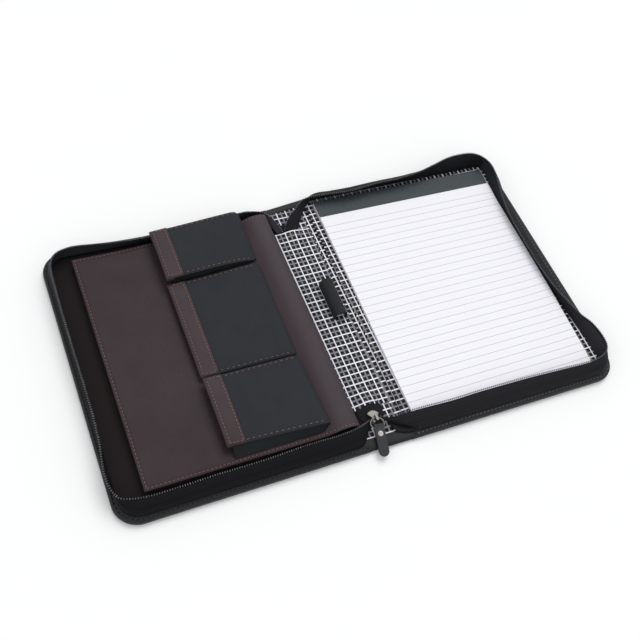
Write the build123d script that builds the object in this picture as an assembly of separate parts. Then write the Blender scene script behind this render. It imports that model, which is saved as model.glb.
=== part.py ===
from build123d import *
import math
import os

os.makedirs("parts", exist_ok=True)

# A zip-round writing folio that lies open on a table, in millimetres.
# X runs across the two covers, Y up the page and Z up from the table.
# Lengths along a cover are counted outward from its fold line.

# Writing pad
PAD_W = 215.9
PAD_H = 279.4
PAD_BOARD_T = 0.7
PAD_BLOCK_T = 2.8
LEAF_T = 0.3
LEAF_GAP = 0.2
BINDING_W = 20.0
BINDING_T = 0.5
PAD_SIDE_IN = 10.0
PAD_SIDE_OUT = 21.1
PAD_FOOT = 6.2
PAD_HEAD = 14.4
SLIP = 0.15
LEAF_HINGE_GAP = 0.6

# Covers and spine
SPINE_W = 42.0
CORNER_R = 24.0
SKIN_T = 1.2
BOARD_T = 2.0
LINING_T = 0.8
FOLD_GAP = 1.0
FOLD_CLEAR = 0.4
WELT_W = 3.0
WELT_H = 5.3
WELT_CLEAR = 0.2

# Pad slot behind the lining cloth
SLOT_CLOTH_T = 0.6
SLOT_PLAY = 1.0
SLOT_MOUTH_FROM_HEAD = 65.0

# Zip band that stands on the edge of each cover and leans inward
WALL_T = 1.6
TEETH_T = 2.6
BAND_START = 48.0
CLOSED_GAP = 0.6
TAPE_SHARE = 0.55
TEETH_SHARE = 0.87
TOP_CORNER_R = 15.0
LEAN_FOOT = 19.0
LEAN_HEAD_RIGHT = 14.0
LEAN_HEAD_LEFT = 10.0
LEAN_SIDE_RIGHT = 16.0
LEAN_SIDE_LEFT = 8.0

# Zip tails from the ends of the band to the spine
TAIL_KNEE = 7.0
TAIL_KNEE_Z = 19.0
TAIL_END_Z = 9.0
TAIL_END_W = 7.5
TAIL_LOW_CLEAR = 0.4
TAIL_GAP = 0.5

# Spine strip, zip end tabs and pen loop
STRIP_T = 1.0
STRIP_FOOT = 43.3
STRIP_HEAD = 43.2
ZIP_TAB_T = 0.8
ZIP_TAB_W = 16.0
ZIP_TAB_L = 24.0
LOOP_W = 14.0
LOOP_H = 12.0
LOOP_L = 43.0
LOOP_T = 1.0
LOOP_R = 5.6
LOOP_Y = 14.6
LOOP_PAD_CLEAR = 0.6

# Tablet sleeve on the left cover
LEATHER_T = 1.5
SLEEVE_H = 7.5
SLEEVE_EDGE = 6.0
SLEEVE_SLOPE = 30.0
SLEEVE_SIDE = 32.5
SLEEVE_FOOT = 24.5
SLEEVE_HEAD = 22.0
SLEEVE_CORNER_R = 6.0
PLEAT_W = 4.5
PLEAT_T = 0.9
PLEAT_INSET = 1.5

# Three pockets on the sleeve, from the foot up
POCKET_D = 98.0
POCKET_SLOPE = 12.0
POCKET_FOOT = 14.5
POCKET_HEAD = 1.5
POCKET_GAP = 2.5
FOOT_POCKET_W = 70.0
HEAD_POCKET_W = 57.0
FOOT_POCKET_H = 9.0
MIDDLE_POCKET_H = 4.4
HEAD_POCKET_H = 11.5
CLOTH_T = 1.1
SIDE_T = 1.0
SIDE_SETBACK = 4.0
TRIM_W = 17.0
TRIM_T = 1.0

# Slider, ring and leather pull
SLIDER_X = -7.0
SLIDER_FROM_HEM = 12.9
SLIDER_W = 8.5
SLIDER_TAIL_W = 5.2
SLIDER_L = 12.0
SLIDER_WING_T = 1.1
SLIDER_CHANNEL = 2.4
SLIDER_POST_R = 1.5
SLIDER_SEAT = 0.3
BRIDGE_W = 2.6
BRIDGE_T = 0.9
BRIDGE_L = 6.0
BRIDGE_SHIFT = 2.0
RING_WIRE_R = 0.8
RING_R = 5.9
RING_SIDE = 3.2
RING_CORNER_R = 1.8
RING_CLEAR = 0.4
RING_DROP = 8.0
TAB_W = 9.5
TAB_L = 25.0
TAB_T = 2.2
TAB_DROP = 7.0
TAB_EYE_W = 7.0
TAB_EYE_WALL = 1.0
TAB_EYE_CLEAR = 0.35
RIVET_R = 3.0
RIVET_SHANK_R = 1.5
RIVET_HEAD_T = 0.7
RIVET_FROM_EYE = 6.5
RIVET_CLEAR = 0.05

# Sizes worked out from the ones above
FOLD_X = SPINE_W / 2
COVER_W = PAD_SIDE_IN + PAD_W + PAD_SIDE_OUT
COVER_H = PAD_FOOT + PAD_H + PAD_HEAD
EDGE_X = FOLD_X + COVER_W
EDGE_Y = COVER_H / 2
COVER_IN = FOLD_X + FOLD_GAP
WELT_IN = FOLD_X + SKIN_T + FOLD_CLEAR
INNER_INSET = WELT_W + WELT_CLEAR
BOARD_TOP = SKIN_T + BOARD_T
LINING_TOP = BOARD_TOP + LINING_T
WELT_TOP = SKIN_T + WELT_H

PAD_X0 = FOLD_X + PAD_SIDE_IN
PAD_X1 = PAD_X0 + PAD_W
PAD_Y0 = -EDGE_Y + PAD_FOOT
PAD_Y1 = PAD_Y0 + PAD_H
PAD_BOARD_Z = LINING_TOP + SLIP
SLOT_CLOTH_Z = PAD_BOARD_Z + PAD_BOARD_T + SLIP
SLOT_TOP = SLOT_CLOTH_Z + SLOT_CLOTH_T
BLOCK_Z = SLOT_TOP + SLIP
BLOCK_TOP = BLOCK_Z + PAD_BLOCK_T
LEAF_Z = BLOCK_TOP + LEAF_GAP
LEAF_TOP = LEAF_Z + LEAF_T
BINDING_Y = PAD_Y1 - BINDING_W
MOUTH_Y = PAD_Y1 - SLOT_MOUTH_FROM_HEAD
LEAF_HINGE_Y = BINDING_Y - LEAF_HINGE_GAP

SPINE_HALF = FOLD_X - SLOT_TOP - FOLD_CLEAR
STRIP_TOP = LINING_TOP + STRIP_T
STRIP_Y0 = -EDGE_Y + STRIP_FOOT
STRIP_Y1 = EDGE_Y - STRIP_HEAD

BAND_IN = FOLD_X + BAND_START
BAND_Z0 = WELT_TOP
BAND_Z1 = FOLD_X - CLOSED_GAP / 2
BAND_INSET = (WELT_W - WALL_T) / 2
TEETH_OVER = (TEETH_T - WALL_T) / 2

SLIDER_Y = STRIP_Y0 - SLIDER_FROM_HEM
SLIDER_Z = LINING_TOP + ZIP_TAB_T + SLIDER_SEAT
SLIDER_TOP = SLIDER_Z + 2 * SLIDER_WING_T + SLIDER_CHANNEL
RING_Y = SLIDER_Y - BRIDGE_SHIFT
RING_Z = SLIDER_TOP + RING_CLEAR + RING_WIRE_R
RING_REACH = RING_R + RING_SIDE + RING_CORNER_R
EYE_Y = RING_Y - RING_REACH * math.cos(math.radians(RING_DROP))
EYE_Z = RING_Z - RING_REACH * math.sin(math.radians(RING_DROP))

SLEEVE_Z = LINING_TOP + SLEEVE_H
SLEEVE_TOP = SLEEVE_Z + LEATHER_T
SLEEVE_Y0 = -EDGE_Y + SLEEVE_FOOT
SLEEVE_Y1 = EDGE_Y - SLEEVE_HEAD
SLEEVE_OUT = COVER_W - SLEEVE_SIDE
POCKET_IN = SLEEVE_EDGE + SLEEVE_SLOPE + WELT_CLEAR
POCKET_OUT = POCKET_IN + POCKET_D


def block(x0, x1, y0, y1, z0, z1):
    """A box between two opposite corners."""
    corner = (Align.MIN, Align.MIN, Align.MIN)
    return Pos(x0, y0, z0) * Box(x1 - x0, y1 - y0, z1 - z0, align=corner)


def polygon(points):
    """A flat face through points in space."""
    return make_face(Polyline(*points, close=True))


def along_y(profile, y0, y1):
    """A profile of (x, z) points drawn out from y0 to y1."""
    face = polygon([(x, y0, z) for x, z in profile])
    return extrude(face, amount=y1 - y0, dir=(0, 1, 0))


def along_x(profile, x0, x1):
    """A profile of (y, z) points drawn out from x0 to x1."""
    face = polygon([(x0, y, z) for y, z in profile])
    return extrude(face, amount=x1 - x0, dir=(1, 0, 0))


def mirrored(shape):
    """The same piece on the left cover."""
    return mirror(shape, about=Plane.YZ)


def rounded_face(x0, x1, y0, y1, z, radius):
    """A rectangle at height z whose two corners away from the spine are round."""
    face = Pos(x0, y0, z) * Rectangle(x1 - x0, y1 - y0, align=(Align.MIN, Align.MIN))
    return fillet(face.vertices().group_by(Axis.X)[-1], radius)


def cover_plate(inset, z0, z1):
    """A plate as large as the right cover, drawn in from its edge by inset."""
    y = EDGE_Y - inset
    face = rounded_face(COVER_IN, EDGE_X - inset, -y, y, z0, CORNER_R - inset)
    return extrude(face, amount=z1 - z0)


def save(name, shape):
    """One file for one named piece."""
    export_step(shape, f"parts/{name}.step")


# Outer leather, stiffening board, lining and edge welt of both covers
outer_cover = cover_plate(0, 0, SKIN_T)
board = cover_plate(INNER_INSET, SKIN_T, BOARD_TOP)
lining = cover_plate(INNER_INSET, BOARD_TOP, LINING_TOP)
edge_welt = cover_plate(0, SKIN_T, WELT_TOP) - cover_plate(WELT_W, SKIN_T, WELT_TOP)
edge_welt -= block(COVER_IN, WELT_IN, -EDGE_Y, EDGE_Y, SKIN_T, WELT_TOP)
for piece_name, piece in [
    ("outer_cover", outer_cover),
    ("board", board),
    ("lining", lining),
    ("edge_welt", edge_welt),
]:
    save("right_" + piece_name, piece)
    save("left_" + piece_name, mirrored(piece))

# Spine between the two folds, and the soft strip of leather and lining at each fold
save("spine_outer_cover", block(-SPINE_HALF, SPINE_HALF, -EDGE_Y, EDGE_Y, 0, SKIN_T))
spine_y = EDGE_Y - INNER_INSET
save("spine_board", block(-SPINE_HALF, SPINE_HALF, -spine_y, spine_y, SKIN_T, BOARD_TOP))
save("spine_lining", block(-SPINE_HALF, SPINE_HALF, -spine_y, spine_y, BOARD_TOP, LINING_TOP))
fold_strip = block(SPINE_HALF, COVER_IN, -EDGE_Y, EDGE_Y, 0, LINING_TOP)
save("right_fold_strip", fold_strip)
save("left_fold_strip", mirrored(fold_strip))
save("spine_strip", block(-SPINE_HALF, SPINE_HALF, STRIP_Y0, STRIP_Y1, LINING_TOP, STRIP_TOP))

# Cloth tabs that hold the two ends of the zip to the spine
tab_x0 = SLIDER_X - ZIP_TAB_W / 2
tab_x1 = SLIDER_X + ZIP_TAB_W / 2
tab_top = LINING_TOP + ZIP_TAB_T
save("foot_zip_tab", block(tab_x0, tab_x1, STRIP_Y0 - ZIP_TAB_L, STRIP_Y0, LINING_TOP, tab_top))
save("head_zip_tab", block(tab_x0, tab_x1, STRIP_Y1, STRIP_Y1 + ZIP_TAB_L, LINING_TOP, tab_top))

# Elastic pen loop, a flat-bottomed tube that clears the pad when the folio is shut
loop_x1 = FOLD_X - LEAF_TOP - LOOP_PAD_CLEAR
loop_x0 = loop_x1 - LOOP_W
loop_face = Pos(loop_x0, LOOP_Y - LOOP_L / 2, STRIP_TOP) * Rot(90, 0, 0) * (
    Rectangle(LOOP_W, LOOP_H, align=(Align.MIN, Align.MIN))
)
pen_loop = extrude(loop_face, amount=LOOP_L, dir=(0, 1, 0))
loop_crown = pen_loop.edges().filter_by(Axis.Y).group_by(Axis.Z)[-1]
pen_loop = fillet(loop_crown, LOOP_R)
loop_bore = block(
    loop_x0 + LOOP_T,
    loop_x1 - LOOP_T,
    LOOP_Y - LOOP_L / 2,
    LOOP_Y + LOOP_L / 2,
    STRIP_TOP + LOOP_T,
    STRIP_TOP + LOOP_H - LOOP_T,
)
bore_crown = loop_bore.edges().filter_by(Axis.Y).group_by(Axis.Z)[-1]
save("pen_loop", pen_loop - fillet(bore_crown, LOOP_R - LOOP_T))


# Zip bands: gusset cloth, tape and teeth, one above the other on the edge welt
def band_face(share, inset, x_in, lean_side, lean_head):
    """The band's outline at a share of its height, drawn in by its lean and by inset."""
    draw = BAND_INSET + inset
    radius = CORNER_R - BAND_INSET - share * (CORNER_R - BAND_INSET - TOP_CORNER_R) - inset
    return rounded_face(
        x_in,
        EDGE_X - draw - share * lean_side,
        -EDGE_Y + draw + share * LEAN_FOOT,
        EDGE_Y - draw - share * lean_head,
        BAND_Z0 + share * (BAND_Z1 - BAND_Z0),
        radius,
    )


def band(share0, share1, over, lean_side, lean_head):
    """A leaning wall round three sides, between two shares of the band's height."""
    leans = (lean_side, lean_head)
    past = 0.05
    outside = [band_face(s, -over, BAND_IN, *leans) for s in (share0, share1)]
    inset = WALL_T + over
    inside = [band_face(s, inset, BAND_IN - WALL_T, *leans) for s in (share0 - past, share1 + past)]
    return loft(outside, ruled=True) - loft(inside, ruled=True)


for side, lean_side, lean_head in [
    ("right", LEAN_SIDE_RIGHT, LEAN_HEAD_RIGHT),
    ("left", LEAN_SIDE_LEFT, LEAN_HEAD_LEFT),
]:
    for piece_name, share0, share1, over in [
        ("gusset", 0, TAPE_SHARE, 0),
        ("zip_tape", TAPE_SHARE, TEETH_SHARE, 0),
        ("zip_teeth", TEETH_SHARE, 1, TEETH_OVER),
    ]:
        piece = band(share0, share1, over, lean_side, lean_head)
        save(f"{side}_{piece_name}", piece if side == "right" else mirrored(piece))


# Zip tails: the loose ends of the bands, which dive to the spine
def tail_section(x, low, high):
    """A slanted strip across the tail at x, from a low (y, z) point to a high one."""
    toward_middle = -math.copysign(WALL_T, low[0])
    shifted = [(x, y + toward_middle, z) for y, z in (high, low)]
    return polygon([(x, *low), (x, *high)] + shifted)


def tail(side, end, lean, end_x, end_y):
    """A ribbon from the band's end past a knee by the fold down to the spine."""
    foot_y = end * (EDGE_Y - BAND_INSET)
    low_z = SLOT_TOP + TAIL_LOW_CLEAR
    top_y = foot_y - end * lean
    sections = [
        (side * BAND_IN, (foot_y, BAND_Z0), (top_y, BAND_Z1)),
        (side * (FOLD_X + TAIL_KNEE), (foot_y, BAND_Z0 + TAIL_LOW_CLEAR), (top_y, TAIL_KNEE_Z)),
        (end_x, (end_y + end * TAIL_END_W, low_z), (end_y, TAIL_END_Z)),
    ]
    return loft([tail_section(*s) for s in sections], ruled=True)


slider_side = SLIDER_W / 2 + TAIL_GAP
head_y = STRIP_Y1 + TAIL_GAP
for side_name, side, lean_head in [("right", 1, LEAN_HEAD_RIGHT), ("left", -1, LEAN_HEAD_LEFT)]:
    tail_x = SLIDER_X + side * slider_side
    save(f"{side_name}_foot_zip_tail", tail(side, -1, LEAN_FOOT, tail_x, SLIDER_Y))
    save(f"{side_name}_head_zip_tail", tail(side, 1, lean_head, tail_x, head_y + WALL_T))

# Lining cloth over the right cover, with the slot that takes the pad's board
slot_y = EDGE_Y - INNER_INSET
slot_x1 = EDGE_X - INNER_INSET
slot_radius = CORNER_R - INNER_INSET
slot_panel = extrude(
    rounded_face(COVER_IN, slot_x1, -slot_y, slot_y, LINING_TOP, slot_radius), amount=SLOT_TOP - LINING_TOP
)
slot_span = (PAD_X0 - SLOT_PLAY, PAD_X1 + SLOT_PLAY)
slot_panel -= block(*slot_span, PAD_Y0 - SLOT_PLAY, slot_y, LINING_TOP, SLOT_CLOTH_Z)
slot_panel -= block(*slot_span, MOUTH_Y, slot_y, SLOT_CLOTH_Z, SLOT_TOP)
save("pad_slot_panel", slot_panel)

# Writing pad: board in the slot, block of sheets, binding and the sheet that turns
save("pad_board", block(PAD_X0, PAD_X1, PAD_Y0, PAD_Y1, PAD_BOARD_Z, PAD_BOARD_Z + PAD_BOARD_T))
pad_block = block(PAD_X0, PAD_X1, PAD_Y0, PAD_Y1, BLOCK_Z, BLOCK_TOP)
pad_block += block(PAD_X0, PAD_X1, MOUTH_Y + SLOT_PLAY, PAD_Y1, PAD_BOARD_Z + PAD_BOARD_T, BLOCK_Z)
save("pad_sheets", pad_block)
binding = block(PAD_X0, PAD_X1, BINDING_Y, PAD_Y1 + BINDING_T, BLOCK_TOP, BLOCK_TOP + BINDING_T)
binding += block(PAD_X0, PAD_X1, PAD_Y1, PAD_Y1 + BINDING_T, PAD_BOARD_Z, BLOCK_TOP)
save("pad_binding", binding)
save("pad_top_sheet", block(PAD_X0, PAD_X1, PAD_Y0, LEAF_HINGE_Y, LEAF_Z, LEAF_TOP))


# Tablet sleeve on the left cover: a leather panel on pleated sides, open away from the spine
def raised_panel(start, slope, end, z0, z1, thick, y0, y1):
    """A sheet on the left cover that climbs a slope from z0 to z1 and runs on level."""
    line = [(start, z0), (start + slope, z1), (end, z1)]
    profile = line + [(a, z + thick) for a, z in reversed(line)]
    return along_y([(-FOLD_X - a, z) for a, z in profile], y0, y1)


sleeve = raised_panel(
    SLEEVE_EDGE, SLEEVE_SLOPE, SLEEVE_OUT, LINING_TOP, SLEEVE_Z, LEATHER_T, SLEEVE_Y0, SLEEVE_Y1
)
sleeve_corners = sleeve.edges().filter_by(Axis.Z).group_by(Axis.X)[0]
save("tablet_sleeve_panel", fillet(sleeve_corners, SLEEVE_CORNER_R))


def pleat(edge_y, toward):
    """A three-fold pleat between the lining and the sleeve's panel, along one edge."""
    out_y = edge_y + toward * PLEAT_INSET
    in_y = out_y + toward * PLEAT_W
    levels = [LINING_TOP + k * SLEEVE_H / 3 for k in range(4)]
    zigzag = [(y, z) for y, z in zip((out_y, in_y, out_y, in_y), levels)]
    back = [(y + toward * PLEAT_T, z) for y, z in reversed(zigzag)]
    x0 = -FOLD_X - SLEEVE_OUT + SLEEVE_CORNER_R
    return along_x(zigzag + back, x0, -FOLD_X - SLEEVE_EDGE - SLEEVE_SLOPE)


save("sleeve_foot_pleat", pleat(SLEEVE_Y0, 1))
save("sleeve_head_pleat", pleat(SLEEVE_Y1, -1))

# Pockets on the sleeve: cloth front, two standing sides and a leather trim at the mouth
foot_y0 = SLEEVE_Y0 + POCKET_FOOT
head_y1 = SLEEVE_Y1 - POCKET_HEAD
middle_y0 = foot_y0 + FOOT_POCKET_W + POCKET_GAP
middle_y1 = head_y1 - HEAD_POCKET_W - POCKET_GAP
for pocket_name, y0, y1, height in [
    ("foot_pocket", foot_y0, foot_y0 + FOOT_POCKET_W, FOOT_POCKET_H),
    ("middle_pocket", middle_y0, middle_y1, MIDDLE_POCKET_H),
    ("head_pocket", head_y1 - HEAD_POCKET_W, head_y1, HEAD_POCKET_H),
]:
    front_z = SLEEVE_TOP + height
    front_top = front_z + CLOTH_T
    front = raised_panel(POCKET_IN, POCKET_SLOPE, POCKET_OUT, SLEEVE_TOP, front_z, CLOTH_T, y0, y1)
    save(pocket_name + "_front", front)
    side_line = [
        (POCKET_IN, SLEEVE_TOP),
        (POCKET_IN + POCKET_SLOPE, front_z),
        (POCKET_OUT - SIDE_SETBACK, front_z),
        (POCKET_OUT - SIDE_SETBACK, SLEEVE_TOP),
    ]
    side_profile = [(-FOLD_X - a, z) for a, z in side_line]
    sides = [along_y(side_profile, y, y + SIDE_T) for y in (y0, y1 - SIDE_T)]
    save(pocket_name + "_sides", Compound(children=sides))
    trim_line = [
        (POCKET_OUT - TRIM_W, front_top),
        (POCKET_OUT, front_top),
        (POCKET_OUT, front_z),
        (POCKET_OUT + TRIM_T, front_z),
        (POCKET_OUT + TRIM_T, front_top + TRIM_T),
        (POCKET_OUT - TRIM_W, front_top + TRIM_T),
    ]
    save(pocket_name + "_trim", along_y([(-FOLD_X - a, z) for a, z in trim_line], y0, y1))


# Zip slider: two wings on a post, with a bridge that holds the ring
def slider_wing(z):
    """A wing that is wide where the two rows of teeth enter and narrow where they leave."""
    wide = Pos(0, -(SLIDER_L - SLIDER_W) / 2) * Circle(SLIDER_W / 2)
    narrow = Pos(0, (SLIDER_L - SLIDER_TAIL_W) / 2) * Circle(SLIDER_TAIL_W / 2)
    outline = make_hull(wide.edges() + narrow.edges())
    return Pos(SLIDER_X, SLIDER_Y, z) * extrude(outline, amount=SLIDER_WING_T)


post_z = SLIDER_Z + SLIDER_WING_T
post_y = SLIDER_Y - SLIDER_L / 2 + SLIDER_W / 2
slider = slider_wing(SLIDER_Z) + slider_wing(post_z + SLIDER_CHANNEL)
flat_bottom = (Align.CENTER, Align.CENTER, Align.MIN)
slider += Pos(SLIDER_X, post_y, post_z) * Cylinder(SLIDER_POST_R, SLIDER_CHANNEL, align=flat_bottom)
save("slider_body", slider)

arch_in = RING_WIRE_R + RING_CLEAR
arch_top = SLIDER_TOP + 2 * arch_in
bridge_x = (SLIDER_X - BRIDGE_W / 2, SLIDER_X + BRIDGE_W / 2)
bridge = block(
    *bridge_x, RING_Y - BRIDGE_L / 2, RING_Y + BRIDGE_L / 2, SLIDER_TOP, arch_top + BRIDGE_T
)
bridge -= block(*bridge_x, RING_Y - arch_in, RING_Y + arch_in, SLIDER_TOP, arch_top)
save("slider_bridge", bridge)


# Pull ring: a D of round wire, from the bridge out to a straight bar
def ring_corner(side):
    """The bend between one side of the ring and its bar."""
    quarter = Torus(RING_CORNER_R, RING_WIRE_R, major_angle=90, align=None)
    turn = 180 if side < 0 else 270
    return Pos(side * (RING_R - RING_CORNER_R), -RING_R - RING_SIDE, 0) * Rot(0, 0, turn) * quarter


ring = Pos(0, -RING_R, 0) * Torus(RING_R, RING_WIRE_R, major_angle=180, align=None)
for side in (-1, 1):
    wire = Rot(90, 0, 0) * Cylinder(RING_WIRE_R, RING_SIDE)
    ring += Pos(side * RING_R, -RING_R - RING_SIDE / 2, 0) * wire
    ring += ring_corner(side)
bar_length = 2 * (RING_R - RING_CORNER_R)
ring += Pos(0, -RING_REACH, 0) * Rot(0, 90, 0) * Cylinder(RING_WIRE_R, bar_length)
save("pull_ring", Pos(SLIDER_X, RING_Y, RING_Z) * Rot(RING_DROP, 0, 0) * ring)

# Leather pull, folded round the ring's bar and held by a rivet
at_eye = Pos(SLIDER_X, EYE_Y, EYE_Z) * Rot(TAB_DROP, 0, 0)
eye_in = RING_WIRE_R + TAB_EYE_CLEAR
eye_out = eye_in + TAB_EYE_WALL
strap = Pos(0, -eye_in) * Rectangle(TAB_W, TAB_L - eye_in, align=(Align.CENTER, Align.MAX))
strap = fillet(strap.vertices().group_by(Axis.Y)[0], TAB_W / 2 - RIVET_CLEAR)
tab = Pos(0, 0, -TAB_T / 2) * extrude(strap, amount=TAB_T)
tab -= block(-TAB_W, TAB_W, -eye_out, 0, -TAB_T, TAB_T)
tab += block(-TAB_EYE_W / 2, TAB_EYE_W / 2, -eye_out - TAB_T / 2, -eye_in, -TAB_T / 2, TAB_T / 2)
tab += Rot(0, 90, 0) * Cylinder(eye_out, TAB_EYE_W)
tab -= Rot(0, 90, 0) * Cylinder(eye_in, TAB_W)
tab -= Pos(0, -RIVET_FROM_EYE, 0) * Cylinder(RIVET_SHANK_R + RIVET_CLEAR, 2 * TAB_T)
save("pull_tab", at_eye * tab)

rivet = Cylinder(RIVET_SHANK_R, TAB_T)
for end in (-1, 1):
    rivet += Pos(0, 0, end * (TAB_T + RIVET_HEAD_T) / 2) * Cylinder(RIVET_R, RIVET_HEAD_T)
save("pull_rivet", at_eye * Pos(0, -RIVET_FROM_EYE, 0) * rivet)
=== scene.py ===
import math
from bisect import bisect_right
import bpy
from mathutils import Matrix, Vector, noise


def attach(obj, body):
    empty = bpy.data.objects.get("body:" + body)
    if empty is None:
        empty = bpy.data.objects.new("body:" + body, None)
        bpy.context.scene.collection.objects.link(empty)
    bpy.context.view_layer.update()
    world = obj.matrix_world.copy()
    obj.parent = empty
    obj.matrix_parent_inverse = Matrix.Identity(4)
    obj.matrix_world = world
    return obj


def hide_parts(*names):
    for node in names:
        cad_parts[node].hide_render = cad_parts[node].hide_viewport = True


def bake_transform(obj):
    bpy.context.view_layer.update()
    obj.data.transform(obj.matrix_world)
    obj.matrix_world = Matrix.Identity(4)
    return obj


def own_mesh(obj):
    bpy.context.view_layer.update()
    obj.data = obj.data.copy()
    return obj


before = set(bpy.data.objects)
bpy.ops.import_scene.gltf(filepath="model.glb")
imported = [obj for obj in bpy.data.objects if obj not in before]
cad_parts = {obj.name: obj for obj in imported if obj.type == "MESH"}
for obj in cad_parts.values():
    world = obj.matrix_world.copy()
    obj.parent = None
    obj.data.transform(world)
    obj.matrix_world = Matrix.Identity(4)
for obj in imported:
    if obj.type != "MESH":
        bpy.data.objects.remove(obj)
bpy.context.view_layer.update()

# Camera, table and light.
# The folio lies open on a white table and is seen from above its left foot corner.
# The light is soft and even, and strongest from the head of the right side.
MM = 0.001
CAMERA_AT = (-0.3338, -0.3694, 0.7543)
VIEW_RIGHT, VIEW_UP = (0.9063, -0.3714, 0.2018), (0.2289, 0.8327, 0.5041)
VIEW_BACK = (-0.3553, -0.4107, 0.8397)

bpy.ops.object.camera_add()
camera = bpy.context.object
camera.data.lens, camera.data.sensor_width, camera.data.clip_end = 49.43, 36.0, 30.0
view_turn = Matrix((VIEW_RIGHT, VIEW_UP, VIEW_BACK)).transposed().to_4x4()
camera.matrix_world = Matrix.Translation(CAMERA_AT) @ view_turn
bpy.context.scene.camera = camera
bpy.context.scene.view_settings.view_transform = "Standard"


def add_node(tree, kind, ins=None, **traits):
    made = tree.nodes.new("ShaderNode" + kind)
    for trait, value in traits.items():
        setattr(made, trait, value)
    for key, value in (ins or {}).items():
        if isinstance(value, bpy.types.NodeSocket):
            tree.links.new(value, made.inputs[key])
        else:
            made.inputs[key].default_value = value
    return made


def reckon(tree, operation, *values):
    return add_node(tree, "Math", dict(enumerate(values)), operation=operation).outputs[0]


def stretch(tree, value, low=0.0, high=1.0, to_low=0.0, to_high=1.0):
    """A value between low and high, stretched to lie between two other ends."""
    ends = {"From Min": low, "From Max": high, "To Min": to_low, "To Max": to_high}
    return add_node(tree, "MapRange", {"Value": value, **ends}).outputs[0]


def flecks(tree, spot, scale, detail=2.0):
    return add_node(tree, "TexNoise", {"Vector": spot, "Scale": scale, "Detail": detail}).outputs[0]


def new_finish(name, roughness, specular):
    """A finish, its node tree, its shader's inputs and the place on the piece."""
    finish = bpy.data.materials.new(name)
    finish.use_nodes = True
    tree = finish.node_tree
    shader = tree.nodes["Principled BSDF"].inputs
    shader["Roughness"].default_value = roughness
    shader["Specular IOR Level"].default_value = specular
    return finish, tree, shader, add_node(tree, "TexCoord").outputs["Object"]


bpy.ops.mesh.primitive_plane_add(size=14, location=(0, 0, -0.0004))
table = bpy.context.object
table.name = "table"
table_white, tree, shader, spot = new_finish("table_white", 0.9, 0.0)
tree.links.new(stretch(tree, flecks(tree, spot, 3.0), 0, 1, 0.985, 1.0), shader["Base Color"])
table.data.materials.append(table_white)

room = bpy.data.worlds.new("room")
room.use_nodes = True
tree, glow = room.node_tree, room.node_tree.nodes["Background"].inputs
glow["Color"].default_value = (0.98, 0.99, 1.0, 1.0)
rays = add_node(tree, "LightPath").outputs
shown = reckon(tree, "MAXIMUM", rays["Is Camera Ray"], rays["Is Glossy Ray"])
shown = reckon(tree, "MAXIMUM", shown, rays["Is Transmission Ray"])
tree.links.new(stretch(tree, shown, 0, 1, 0.6, 1.0), glow["Strength"])
bpy.context.scene.world = room

LAMPS = (("lamp_head_right", 140, 58, 40, 1.12), ("lamp_left", -70, 50, 70, 0.48))
for name, azimuth, height, spread, strength in LAMPS:
    bpy.ops.object.light_add(type="SUN")
    lamp = bpy.context.object
    lamp.name = name
    lamp.data.angle, lamp.data.energy = math.radians(spread), strength
    lamp.rotation_euler = (math.radians(90 - height), 0, math.radians(azimuth))

# Outer covers: two stiff halves and a spine, skinned in one piece of black grained leather.
# The skin is glued over boards, turned in at the head and foot of the spine, and soft at the two folds.
HALVES = (("right", 1), ("left", -1))
COVER_IN, COVER_OUT, EDGE_Y, CORNER_R = 22.0, 268.0, 150.0, 24.0
SPINE_X, FOLD_X = 15.0, 22.4
COVER_T, SKIN_T = 1.2, 1.1
# How far each cover lies out of square in x and y, at its spine foot, outer foot, outer head and spine head.
OUT_OF_SQUARE = {
    1: ((0, 0), (3.8, -1.8), (-5.0, 0.5), (0, -3.4)),
    -1: ((0, 0.5), (-3.0, 1.0), (-3.9, -11.5), (0, -8.4)),
}
HEAD_BOW = {1: 0.0, -1: -3.0}


def within(share):
    return min(1.0, max(0.0, share))


def settle(side, x, y):
    """Where a point of a true, square cover lies on the settled cover; x is taken to the right."""
    u, v = within((x - COVER_IN) / (COVER_OUT - COVER_IN)), (y + EDGE_Y) / (2 * EDGE_Y)
    a, b, c, d = (Vector(shift) for shift in OUT_OF_SQUARE[side])
    shift = (a * (1 - u) + b * u) * (1 - v) + (d * (1 - u) + c * u) * v
    return x + shift.x, y + shift.y + HEAD_BOW[side] * 4 * u * (1 - u) * v


def spine_y(x, y):
    """The same for a point of the spine, which lies between the two covers."""
    left, right = settle(-1, max(COVER_IN, -x), y)[1], settle(1, max(COVER_IN, x), y)[1]
    return left + (right - left) * within((x + COVER_IN) / (2 * COVER_IN))


def take(piece):
    """Makes a piece the only one that is chosen."""
    bpy.ops.object.select_all(action="DESELECT")
    piece.select_set(True)
    bpy.context.view_layer.objects.active = piece


def pick(steps, share):
    return share if isinstance(steps, int) else steps[round(share * (len(steps) - 1))]


def lay_sheet(name, across, along, place):
    """A grid moved to where place puts it, in millimetres.
    Each way is a count of even steps, given to place as shares, or a list of steps."""
    cols, rows = (steps if isinstance(steps, int) else len(steps) - 1 for steps in (across, along))
    bpy.ops.mesh.primitive_grid_add(x_subdivisions=cols, y_subdivisions=rows, size=1)
    sheet = bpy.context.object
    sheet.name = sheet.data.name = name
    for point in sheet.data.vertices:
        point.co = Vector(place(pick(across, point.co.x + 0.5), pick(along, point.co.y + 0.5))) * MM
    return sheet


def smooth(piece, angle=50):
    take(piece)
    bpy.ops.object.shade_smooth_by_angle(angle=math.radians(angle))
    return piece


def thicken(piece, thickness, offset=0.0, even=True):
    take(piece)
    step = piece.modifiers.new("thickness", "SOLIDIFY")
    step.thickness, step.offset, step.use_even_offset = thickness * MM, offset, even
    bpy.ops.object.modifier_apply(modifier=step.name)
    return smooth(piece)


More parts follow.
